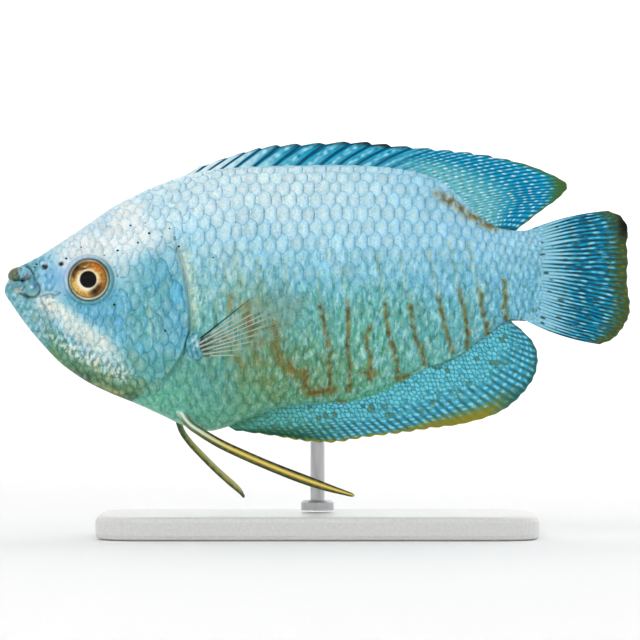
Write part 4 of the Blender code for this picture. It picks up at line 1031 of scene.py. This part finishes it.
def dorsal_colours(phase, inner, x, z):
    """Pale waving streaks between dark spines in front, dotted rays behind, and an olive edge."""
    soft = ease(48.0, 56.0, x)
    stiff = 1 - soft
    lanes = phase * 2.1
    band = np.sin((phase + 0.35 * inner) * math.tau)
    pale = ease(-0.2, 0.5, band) * (0.68 + 0.38 * waves(x, z, 1.2, 24))
    fine = np.sin((phase * 3 + 0.9 * inner) * math.tau + 1.2 * waves(x, z, 1.6, 29))
    greens = dashes(lanes + 0.5, inner, 8.0, 4, 0.5)
    spots = dashes(lanes, inner, 8.5, 2, 0.52, 0.9, 20.0) * soft * (0.75 + 0.35 * waves(x, z, 1.1, 28))
    tip = ease(68.6, 70.8, x) * ease(0.75, 0.95, inner)
    heavy = 0.45 + 0.55 * blob(x, z, (48.0, 18.6), (4.5, 2.0))
    return np.clip(laid(rayed((0.05, 0.67, 0.84), (0.01, 0.38, 0.54), lanes, 0.9), [
        ((0.36, 0.74, 0.84), 0.5 * ease(0.5, 0.0, inner)),
        ((0.02, 0.18, 0.28), 0.75 * stiff * ease(-0.62, -0.95, band)),
        ((0.66, 0.93, 0.99), 0.95 * stiff * np.clip(pale, 0, 1)),
        ((0.03, 0.45, 0.60), 0.45 * stiff * ease(0.1, 0.8, fine) * ease(30.0, 38.0, x)),
        ((0.95, 0.99, 1.0), 0.95 * ease(38.0, 26.0, x) * ease(-0.8, -0.1, band)),
        ((0.54, 0.82, 0.84), 0.65 * soft * ease(0.60, 0.12, inner)),
        ((0.34, 0.52, 0.44), 0.7 * soft * greens * ease(0.65, 0.3, inner)),
        ((0.86, 0.98, 1.0), 1.15 * spots),
        ((0.06, 0.30, 0.26), 0.8 * ease(0.985, 1.0, phase / phase.max())),
        ((0.27, 0.43, 0.22), np.maximum(tip, 0.8 * ease(0.90, 0.98, inner) * soft)),
        ((0.07, 0.10, 0.10), 0.95 * ease(0.74, 0.95, inner) * stiff * heavy),
    ]), 0, 1)


def anal_colours(phase, inner, x, z):
    """Small pale cells near the root, dotted rays, and a golden edge that fades out at both ends."""
    soft = ease(44.0, 54.0, x)
    lanes = phase * 1.6
    gaps = dashes(lanes + 0.5, inner, 8.0, 6, 0.5)
    spots = dashes(lanes, inner, 9.0, 5, 0.62, 1.0)
    border, chance = cobbles(x + 0.35 * z, z, 0.56, 26)
    scaly = ease(0.70, 0.30, inner + 0.15 * waves(x, z, 2.0, 26)) * ease(31.0, 37.0, x + 8 * inner)
    cell = mix(even(x, (0.48, 0.89, 0.96)), (0.40, 0.74, 0.67), 0.6 * ease(44.0, 34.0, x))
    broad = ease(49.0, 57.0, x) * ease(66.5, 63.0, x)
    edge = ease(0.87 - 0.17 * broad, 0.98 - 0.06 * broad, inner + 0.05 * waves(x, z, 0.9, 27))
    above = ease(-0.05, 0.25, border_gap(x, z))[..., None]
    base = laid(rayed((0.26, 0.68, 0.82), (0.10, 0.42, 0.48), lanes, 0.7), [
        ((0.26, 0.54, 0.40), 0.9 * ease(46.0, 34.0, x)),
        ((0.38, 0.38, 0.16), 0.7 * gaps * (1 - 0.25 * soft)),
        ((0.62, 0.92, 0.98), 0.85 * spots * (1 - 0.5 * ease(40.0, 32.0, x))),
        (cell, scaly * (0.55 + 0.42 * chance)),
        ((0.34, 0.40, 0.20), 0.6 * scaly * (chance < 0.07)),
        ((0.12, 0.38, 0.42), 0.75 * scaly * border),
        ((0.08, 0.27, 0.20), 0.75 * ease(0.45, 0.9, inner) * ease(45.0, 36.0, x)),
        ((0.58, 0.54, 0.15), 0.95 * edge * ease(68.0, 61.0, x)),
        ((0.14, 0.36, 0.34), 0.8 * edge * ease(61.0, 66.0, x)),
        ((0.86, 0.84, 0.62), 0.7 * ease(0.95, 0.99, inner) * ease(42.0, 34.0, x)),
    ])
    return np.clip(base * (1 - above) + paint(x, z) * (1 - 0.25 * border[..., None]) * above, 0, 1)


def tail_colours(phase, inner, x, z):
    """Dark and bright streaks along the rays, pale dashes on them, and an olive edge, black at its top."""
    lanes = phase * 2.3 + 0.20 * waves(x * 0.3, z, 3.4, 36)
    deep = ease(-0.2, 0.7, waves(x * 0.5, z * 1.6, 2.2, 33))
    streaks = waves(inner * 7.0, lanes * 1.9, 1.5, 37)
    browns = dashes(lanes + 0.5, inner, 8.0, 10, 0.42)
    spots = dashes(lanes, inner, 5.5, 8, 0.62, 1.2, 26.0)
    pale_run = 0.5 - 0.5 * np.cos(lanes * math.tau)
    reach = 1.5 * waves(x * 0, np.floor(lanes) * 1.0, 2.7, 35)
    dots = dashes(phase * 1.3 + 0.3, inner, 4.0, 12, 0.14, 0.5) * ease(0.05, 0.16, inner)
    margin = ease(0.78, 0.95, inner + 0.04 * waves(x, z, 0.8, 31) + 0.04 * np.sin(lanes * math.tau))
    return np.clip(laid(rayed((0.03, 0.62, 0.79), (0.01, 0.30, 0.41), lanes, 0.95), [
        ((0.03, 0.34, 0.48), 0.5 * deep),
        ((0.34, 0.76, 0.90), 0.65 * ease(0.3, 1.0, streaks)),
        ((0.01, 0.20, 0.30), 0.55 * ease(-0.3, -1.0, streaks)),
        ((0.28, 0.28, 0.12), 0.8 * browns),
        ((0.66, 0.94, 1.0), (0.75 + 0.3 * streaks) * spots * ease(0.99, 0.80, inner)),
        ((0.64, 0.87, 0.95), 0.95 * ease(71.2, 67.6, x + 0.7 * reach - 3.6 * pale_run)),
        ((0.30, 0.58, 0.70), 0.6 * cobbles(x, z, 0.62, 34)[0] * ease(70.5, 67.0, x)),
        ((0.08, 0.20, 0.20), 0.7 * dots * ease(0.5, 0.3, inner)),
        ((0.29, 0.34, 0.15), 0.9 * margin),
        ((0.52, 0.50, 0.22), 0.6 * margin * dashes(lanes + 0.3, inner, 9.0, 14, 0.55, 0.8, 30.0)),
        ((0.05, 0.06, 0.05), 0.9 * blob(x, z, (79.3, 8.4), (0.9, 1.8))),
    ]), 0, 1)


def ray_half(inner, ridge):
    """Half the thickness of a fin, with its rays raised and its edge thin."""
    thin = ease(0.55, 1.0, inner)
    return (WEB_HALF + (RAY_HALF - WEB_HALF) * ridge) * (1 - thin) + EDGE_HALF * (0.7 + 0.3 * ridge) * thin


def spiny_edge(spines, total, depth):
    """The edge of a fin, drawn in between its stiff front spines and nearly smooth behind them."""
    def edge(across, to_ray):
        stiff = ease(spines / total + 0.03, spines / total - 0.03, across)
        return depth * stiff * (np.minimum(to_ray * 2, 1) ** 1.4) + 0.12 * (1 - stiff) * to_ray * 2
    return edge


def sheathed_half(x, z, inner, ridge):
    """The half thickness of a fin that the body's skin sheathes at its root."""
    return ray_half(inner, ridge) + 0.30 * np.maximum(1 - inner / 0.22, 0) ** 2


def tail_half(x, z, inner, ridge):
    """The half thickness of the tail fin, which grows out of the tail stalk."""
    stalk = half_width(np.minimum(x, BODY_END), np.clip(z, -3.9, 7.5)) * ease(70.5, 66.0, x)
    return np.maximum(ray_half(inner, ridge), 0.9 * stalk)


def fins():
    """The dorsal, anal and tail fins."""
    for name, roots, tips, spines, soft_rays, depth, sway, bow, colours, size in (
        ("dorsal", DORSAL_ROOTS, DORSAL_TIPS, DORSAL_SPINES, DORSAL_SOFT_RAYS, 0.65, DORSAL_SWAY, DORSAL_BOW,
         dorsal_colours, (520, 60)),
        ("anal", ANAL_ROOTS, ANAL_TIPS, ANAL_SPINES, ANAL_SOFT_RAYS, 0.3, ANAL_SWAY, ANAL_BOW,
         anal_colours, (560, 64)),
    ):
        total = spines + soft_rays
        fin_piece(f"fin_{name}", roots, tips, total, spiny_edge(spines, total, depth),
                  lambda x, z, inner, sway=sway: sway * inner**2, sheathed_half,
                  lambda across, bow=bow: bow * across, colours, FIN, (f"{name}_fin",), size, split=2.0)
    fin_piece("fin_tail", TAIL_ROOTS, TAIL_TIPS, TAIL_RAYS, lambda across, to_ray: 0.14 * to_ray * 2,
              lambda x, z, inner: TAIL_SWAY * inner**2, tail_half, lambda across: TAIL_BOW * (1 - 2 * across),
              tail_colours, FIN, ("tail_fin",), (420, 110), sink=1.5, split=3.0)


def pectoral(side, word):
    """A clear pectoral fin: one thin web, its rays, and the fleshy lobe at its root."""
    def middle(x, z, inner):
        return side * (half_width(x, z) + PECTORAL_CLEAR + PECTORAL_SPREAD * inner)

    def web_colours(phase, inner, x, z):
        return mix(even(x, (0.66, 0.74, 0.66)), (0.80, 0.74, 0.50), 0.5 * ease(0.5, 0.0, inner))

    fin_piece(f"fin_pectoral_web_{word}", PECTORAL_ROOTS, PECTORAL_TIPS, PECTORAL_RAYS,
              lambda across, to_ray: 0.25 * to_ray * 2, middle, lambda x, z, inner, ridge: 0.05 + 0 * x,
              lambda across: 0 * across, web_colours, WEB, (f"pectoral_fin_{word}",), (160, 30), sink=0.4)
    pectoral_rays(middle, word)
    pectoral_lobe(side, word)


def pectoral_rays(middle, word):
    """The rays of a pectoral fin: a dark first one, and pale ones that part in three towards their tips."""
    strands = [(0, 0)] + [(k, fork) for k in range(1, PECTORAL_RAYS) for fork in (-1, 0, 1)]
    ring = circle(RAY_SIDES)
    points, faces, colours = [], [], []
    for n, (k, fork) in enumerate(strands):
        root, tip = (along(line, k / (PECTORAL_RAYS - 1)) for line in (PECTORAL_ROOTS, PECTORAL_TIPS))
        share = np.linspace(-0.05, 0.97 - 0.03 * abs(fork), RAY_STATIONS)
        inner = np.clip(share, 0, 1)
        split = fork * 0.55 * ease(0.35, 1.0, share)
        x = root[0] + (tip[0] - root[0]) * share + split * 0.5
        z = root[1] + (tip[1] - root[1]) * share - split * 0.6
        y = middle(x, z, inner)
        size = (0.085 if k else 0.12) * (1 - 0.62 * inner) * (0.8 if fork else 1.0)
        up, out = np.outer(size, np.sin(ring)), np.outer(size, np.cos(ring))
        points.append(place(x[:, None] - up * 0.5, y[:, None] + out, z[:, None] + up * 0.8).reshape(-1, 3))
        faces += closed_faces(RAY_STATIONS, RAY_SIDES, n * RAY_STATIONS * RAY_SIDES)
        tone = laid(even(share, (0.86, 0.84, 0.76) if k else (0.13, 0.15, 0.12)), [
            ((0.50, 0.62, 0.48), (0.8 if k else 0.5) * ease(0.25, 0.8, share)),
            ((0.10, 0.14, 0.14), 0.8 * ease(0.13, 0.05, share) * (k % 2)),
        ])
        colours.append(np.repeat(tone, RAY_SIDES, 0))
    points, colours = np.concatenate(points), np.concatenate(colours)
    mesh_object(f"fin_pectoral_rays_{word}", points, faces, colours, FIN)


def pectoral_lobe(side, word):
    """The fleshy lobe at the root of a pectoral fin, pale mottled with a painted highlight."""
    tilt, turn = globe(24, 32, 0.02)
    x = PECTORAL_LOBE[0] + LOBE_RADII[0] * np.sin(tilt) * np.cos(turn)
    z = PECTORAL_LOBE[1] + LOBE_RADII[2] * np.sin(tilt) * np.sin(turn)
    flank = float(half_width(*(np.array([v]) for v in PECTORAL_LOBE))[0])
    y = side * (flank - LOBE_RADII[1] * np.cos(tilt))
    shade = laid(even(x, (0.36, 0.66, 0.72)), [
        # A painted highlight among the pale mottles.
        ((0.80, 0.93, 0.95), 0.9 * blob(x, z, (24.7, -6.7), (0.45, 0.8), 0.4) + 0.6 * waves(x, z, 0.8, 41)),
        ((0.14, 0.34, 0.38), 0.6 * ease(0.2, 1.0, waves(x, z, 0.7, 42))),
        ((0.10, 0.18, 0.22), 0.8 * ease(25.5, 26.1, x)),
    ])
    faces = closed_faces(*tilt.shape)
    faces = faces if side > 0 else [face[::-1] for face in faces]
    mesh_object(f"fin_pectoral_lobe_{word}", place(x, y, z), faces, shade, FIN)


# Tubes: lips and feelers


def tube(name, line, sizes, colours, finish, stations, stands_for=()):
    """A rounded strand along a line of (x, y, z) points, with sizes (half height, half width) along it."""
    t = np.linspace(0, 1, stations)
    middle, size = along(line, t), along(sizes, t)
    ahead = np.gradient(middle, axis=0)
    ahead /= np.linalg.norm(ahead, axis=1, keepdims=True)
    up = Vector((0, 0.3, 1))
    points, turn = [], circle(TUBE_SIDES)
    for k in range(stations):
        forward = Vector(ahead[k])
        up = (up - forward * up.dot(forward)).normalized()
        out = forward.cross(up)
        end = min(k, stations - 1 - k) / 4
        close = math.sqrt(max(1 - (1 - min(end, 1)) ** 2, 0.0009))
        ring = np.outer(np.sin(turn) * size[k, 0] * close, np.array(up))
        ring += np.outer(np.cos(turn) * size[k, 1] * close, np.array(out))
        points.append(middle[k] + ring)
    points = np.array(points)
    shade = colours(t[:, None] * np.ones(TUBE_SIDES), np.ones((stations, 1)) * turn[None, :], points)
    spots = place(points[..., 0], points[..., 1], points[..., 2])
    mesh_object(name, spots, closed_faces(stations, TUBE_SIDES), shade, finish, stands_for)


def lips():
    """The two lips, each one tube round the front of its jaw from side to side; the upper one has painted
    shade on its underside.
    """
    def mottled(base, points):
        fine = waves(points[..., 0] + 0.4 * points[..., 1], points[..., 2], 0.55, 43)
        return laid(base, [
            ((0.72, 0.86, 0.90), 0.35 * ease(0.3, 1.0, fine)),
            ((0.14, 0.26, 0.28), 0.35 * ease(-0.2, -0.9, fine)),
        ])

    def upper_colours(t, turn, points):
        x, y, z = np.moveaxis(points, -1, 0)
        fine = waves(x, z + y, 0.7, 44)
        olive = ease(2.2, 1.3, x - 0.14 * (z - 1.3) + 0.22 * fine)
        return mottled(laid(even(t, (0.50, 0.77, 0.86)), [
            ((0.34, 0.38, 0.24), 0.95 * olive),
            ((0.50, 0.50, 0.34), 0.5 * olive * ease(0.2, 0.9, fine)),
            ((0.14, 0.16, 0.10), 0.6 * olive * ease(-0.2, -0.9, fine)),
            ((0.46, 0.42, 0.42), 0.8 * blob(x, z, (3.0, 1.65), (0.55, 0.4))),
            # Painted shade on the underside of the upper lip.
            ((0.10, 0.15, 0.15), 0.4 * ease(-0.6, -0.95, np.sin(turn))),
        ]), points)

    def lower_colours(t, turn, points):
        pale = 0.7 * blob(points[..., 0], points[..., 2], (1.95, 0.1), (0.6, 0.4))
        return mottled(mix(even(t, (0.38, 0.66, 0.72)), (0.80, 0.76, 0.72), pale), points)

    for word, half, colours in (("upper", UPPER_LIP, upper_colours), ("lower", LOWER_LIP, lower_colours)):
        line = [(x, -y, z, r) for x, y, z, r in reversed(half)] + half[1:]
        sizes = [(r, r) for *_, r in line]
        tube(f"lip_{word}", [p[:3] for p in line], sizes, colours, SKIN, 110)


def feelers():
    """The two thread-like pelvic fins: the near one yellow with dark edges and a painted highlight along its
    middle, the far one olive.
    """
    def near_colours(t, turn, points):
        side = np.abs(np.sin(turn))
        out = side + 0.08 * np.sin(t * 83 + 3 * np.sin(t * 31)) + 0.05 * np.sin(t * 190)
        upper = 0.55 + 0.45 * ease(-0.2, 0.2, np.sin(turn))
        return laid(even(t, (0.90, 0.74, 0.22)), [
            # A painted highlight along the middle of each face.
            ((0.98, 0.93, 0.64), 0.75 * ease(0.25, 0.05, side)),
            ((0.85, 0.93, 0.92), ease(0.50, 0.15, t)),
            ((0.38, 0.44, 0.18), 0.9 * ease(0.30, 0.46, side) * ease(0.02, 0.14, t)),
            ((0.08, 0.10, 0.05), upper * ease(0.46, 0.74, out) * ease(0.14, 0.36, t)),
        ])

    def far_colours(t, turn, points):
        out = np.abs(np.sin(turn)) + 0.1 * np.sin(t * 71 + 2 * np.sin(t * 23))
        return laid(even(t, (0.62, 0.60, 0.26)), [
            ((0.36, 0.48, 0.34), ease(0.35, 0.1, t)),
            ((0.78, 0.74, 0.40), 0.6 * ease(0.45, 0.1, out) * ease(0.3, 0.8, t)),
            ((0.20, 0.24, 0.12), 0.7 * ease(0.6, 0.95, out)),
            ((0.16, 0.15, 0.08), 0.8 * ease(0.8, 0.98, t)),
        ])

    for word, line, colours, stations in (
        ("left", LEFT_FEELER, near_colours, 200), ("right", RIGHT_FEELER, far_colours, 160),
    ):
        stands_for = (f"pelvic_feeler_{word}",)
        tube(f"feeler_{word}", line, FEELER_SIZES, colours, FEELER, stations, stands_for)


# Eyes


def eye_colours(reach, turn):
    """An eye's colours by distance from its middle in millimetres and direction, a quarter turn being up,
    with a painted glint and the ball's edge darkened as painted shade.
    """
    x, z = reach * np.cos(turn), reach * np.sin(turn)
    fibres = 0.5 + 0.5 * np.sin(turn * 30 + 2.2 * np.sin(turn * 5) + 1.5 * waves(x, z, 0.8, 61))
    mottle = waves(x, z, 0.7, 62) + 0.6 * waves(x, z, 0.35, 63)
    lower_left = 0.45 + 0.5 * ease(-0.3, 0.8, np.cos(turn - 4.1))
    pale = 0.35 + 0.60 * ease(-0.2, 0.9, np.cos(turn + 0.9)) + 0.2 * blob(x, z, (0.3, 2.4), (0.7, 0.4))
    return laid(even(reach, (0.76, 0.52, 0.18)), [
        ((0.98, 0.84, 0.46), 0.95 * ease(0.1, 0.8, np.cos(turn - 3.8))),
        ((0.97, 0.84, 0.56), 0.75 * blob(x, z, (1.2, 0.3), (0.35, 0.9), 0.2)),
        ((0.50, 0.36, 0.12), 0.8 * blob(x, z, (-0.4, 2.0), (0.8, 0.35))),
        ((0.88, 0.48, 0.10), 0.9 * blob(x, z, (1.05, 1.6), (0.85, 0.5), -0.7)),
        ((0.82, 0.54, 0.30), 0.7 * blob(x, z, (-0.7, -1.9), (0.8, 0.28), -0.35)),
        ((0.30, 0.15, 0.05), 0.22 * fibres * ease(1.3, 2.0, reach)),
        ((1.0, 0.92, 0.62), 0.45 * ease(0.5, 1.3, mottle)),
        ((0.34, 0.18, 0.05), 0.45 * ease(-0.5, -1.3, mottle)),
        ((1.0, 0.96, 0.84), lower_left * ease(1.75, 1.30, reach)),
        ((0.10, 0.08, 0.05), 0.95 * blob(x, z, (-1.6, 1.45), (0.75, 0.42), 0.85)),
        ((0.12, 0.09, 0.05), 0.95 * blob(x, z, (-0.55, 1.42), (0.55, 0.16), 0.2)),
        ((0.34, 0.17, 0.05), 0.95 * blob(x, z, (-1.9, 0.6), (0.32, 0.65))),
        ((0.12, 0.08, 0.04), 0.95 * blob(x, z, (0.85, -1.5), (0.6, 0.45), 0.6)),
        ((0.30, 0.16, 0.06), 0.95 * blob(x, z, (1.35, -0.95), (0.42, 0.36))),
        ((1.0, 0.97, 0.88), (0.35 + 0.6 * lower_left) * bell(reach, 1.23, 0.10)),
        # A painted glint.
        ((1.0, 1.0, 0.98), 0.9 * blob(x, z, (-0.45, 1.62), (0.24, 0.08), 0.15)),
        ((0.24, 0.18, 0.10), 0.5 * ease(2.10, 2.28, reach)),
        ((1.0, 1.0, 0.92), pale * ease(2.28, 2.38, reach)),
        # The ball's edge painted dark teal, as the shade where it meets the socket.
        ((0.22, 0.38, 0.40), ease(2.56, 2.64, reach)),
        ((0.005, 0.005, 0.008), ease(1.14, 1.07, reach)),
    ])


def eye(side, word):
    """A domed eye, turned to face square out from the head where it sits."""
    x0, z0 = EYE
    step = 0.4
    x, z = np.array([x0 - step, x0 + step, x0, x0]), np.array([z0, z0, z0 - step, z0 + step])
    wide = half_width(x, z)
    facing = Vector((-(wide[1] - wide[0]) / (4 * step), side, -(wide[3] - wide[2]) / (4 * step))).normalized()
    flank = float(half_width(np.array([x0]), np.array([z0]))[0])
    middle = Vector((x0, side * flank, z0)) - facing * EYE_SUNK
    right = facing.cross(Vector((0, 0, 1))).normalized()
    up = right.cross(facing)
    tilt, turn = globe(72, 128, 0.004)
    reach, dome = EYE_RADIUS * np.sin(tilt), EYE_HALF_DEPTH * np.cos(tilt)
    spots = np.array(middle)
    for size, way in ((reach * np.cos(turn), right), (reach * np.sin(turn), up), (dome, facing)):
        spots = spots + np.multiply.outer(size, np.array(way))
    shade = eye_colours(reach, turn if right.x > 0 else math.pi - turn)
    spots, faces = place(spots[..., 0], spots[..., 1], spots[..., 2]), closed_faces(*tilt.shape)
    mesh_object(f"eyeball_{word}", spots, faces, shade, EYEBALL, (f"eye_{word}",))


# Stand, floor, light and camera


def plain_material(name, colour, roughness, metallic, grain, stretch=(1, 1, 1), unevenness=0.05):
    """The stand's satin plastic or brushed steel, with a fine grain and slight unevenness."""
    made, tree, where = new_material(name)
    turned = node(tree, "Mapping", {"Vector": where, "Scale": stretch}).outputs["Vector"]
    noise = node(tree, "TexNoise", {"Vector": turned, "Scale": grain, "Detail": 4.0}).outputs["Fac"]
    ramp = node(tree, "ValToRGB", {"Fac": noise})
    low, high = ramp.color_ramp.elements
    low.position, high.position = 0.3, 0.7
    low.color = [*linear(np.array(colour) * (1 - unevenness)), 1]
    high.color = [*linear(np.array(colour)), 1]
    bump = node(tree, "Bump", {"Height": noise, "Strength": 0.4, "Distance": 0.00002})
    fill(tree, tree.nodes["Principled BSDF"], {
        "Base Color": ramp.outputs["Color"],
        "Roughness": ranged(tree, noise, 0.0, 1.0, roughness - 0.06, roughness + 0.08),
        "Normal": bump.outputs["Normal"],
        "Metallic": metallic,
    })
    return made


def stand(nodes):
    """Gives the plain stand its finishes."""
    finishes = {
        "stand_base": plain_material("satin_plastic", (0.90, 0.90, 0.89), 0.36, 0.0, 2600.0),
        "stand_rod": plain_material("brushed_steel", (0.74, 0.74, 0.75), 0.30, 1.0, 1500.0, (1, 1, 0.04)),
    }
    for name, finish in finishes.items():
        mesh = nodes[name].data
        mesh.materials.clear()
        mesh.materials.append(finish)


def studio_floor():
    """A pale round floor whose rim curves up far away, so that no edge shows from any side."""
    rings = [(reach, 0.0) for reach in (0.2, 0.5, 0.8)]
    rings += [(0.8 + 0.5 * math.sin(a), 0.5 - 0.5 * math.cos(a)) for a in np.linspace(0.1, math.pi / 2, 14)]
    rings.append((1.3, 1.6))
    sides = 96
    points = [(0.0, 0.0, -FLOOR_DROP)]
    for reach, height in rings:
        for turn in circle(sides):
            points.append((reach * math.cos(turn), reach * math.sin(turn), height - FLOOR_DROP))
    faces = [(0, 1 + k, 1 + (k + 1) % sides) for k in range(sides)]
    faces += grid_faces(len(rings), sides, 1, wrap=True)[:, ::-1].tolist()
    pale = plain_material("pale_floor", (0.99, 0.99, 0.99), 0.8, 0.0, 900.0, unevenness=0.004)
    floor = linked("floor", smooth_mesh("floor", points, faces, pale))


def lamp(name, kind, spot, size, energy):
    """A soft light that shines from a place towards the fish."""
    light = bpy.data.lights.new(name, kind)
    light.energy = energy
    if kind == "SUN":
        light.angle = size
    else:
        light.shape, light.size = "DISK", size
    made = linked(name, light)
    made.location = spot
    made.rotation_euler = (Vector((0, 0, 0.03)) - Vector(spot)).to_track_quat("-Z", "Y").to_euler()


def studio():
    """White surroundings, three broad suns and a small lamp for the glint in the eye."""
    scene = bpy.context.scene
    scene.view_settings.view_transform = "Standard"
    scene.world = bpy.data.worlds.new("studio")
    scene.world.use_nodes = True
    tree = scene.world.node_tree
    fill(tree, tree.nodes["Background"], {"Color": (1, 1, 1, 1), "Strength": 0.72})
    lamp("key", "SUN", (-0.45, -0.85, 0.75), math.radians(28), 2.6)
    lamp("fill", "SUN", (0.5, -0.9, 0.10), math.radians(60), 0.7)
    lamp("back", "SUN", (0.3, 0.9, 0.6), math.radians(60), 0.5)
    lamp("glint", "AREA", (-0.16, -0.30, 0.26), 0.05, 0.12)


def camera():
    """A long lens that looks level at the left flank."""
    data = bpy.data.cameras.new("camera")
    data.lens, data.sensor_width = LENS, SENSOR
    data.clip_start, data.clip_end = 0.01, 10.0
    made = linked("camera", data)
    made.location = (CAMERA_X, -CAMERA_DISTANCE, CAMERA_Z)
    made.rotation_euler = (math.pi / 2, 0, 0)
    bpy.context.scene.camera = made


# The model put together


FLESH = ("head", "lower_jaw", "gill_cover_left", "gill_cover_right", "trunk", "tail_stalk")
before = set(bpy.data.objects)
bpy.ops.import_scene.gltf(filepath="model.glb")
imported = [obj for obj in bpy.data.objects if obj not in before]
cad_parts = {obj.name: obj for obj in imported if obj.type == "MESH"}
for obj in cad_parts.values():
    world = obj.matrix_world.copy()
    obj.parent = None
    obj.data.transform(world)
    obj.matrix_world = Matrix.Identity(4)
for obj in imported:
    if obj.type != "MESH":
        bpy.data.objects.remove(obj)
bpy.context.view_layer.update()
SKIN = material("skin", 0.36, 0.12, 0.35)
SCALES = material("scales", 0.34, 0.12, 0.4, bump_size=0.00003, bump_grain=3600.0, tint=0.13, flecked=True)
FIN = material("fins", 0.42, 0.04, 0.1, bump_size=0.00004)
FEELER = material("feelers", 0.40, 0.10, 0.3, bump_size=0.00004)
WEB = material("clear_web", 0.25, 0.10, 0.2, bump_size=0.00002, alpha=0.06)
EYEBALL = material("eyeball", 0.12, 0.06, 0.14, bump_size=0.000002, tint=0.03)

studio_floor()
studio()
camera()
stand(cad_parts)
skin_piece()
print("scales on each side:", all_scales())
fins()
for flank, word in ((-1, "left"), (1, "right")):
    pectoral(flank, word)
    eye(flank, word)
    pores(flank, word)
lips()
feelers()
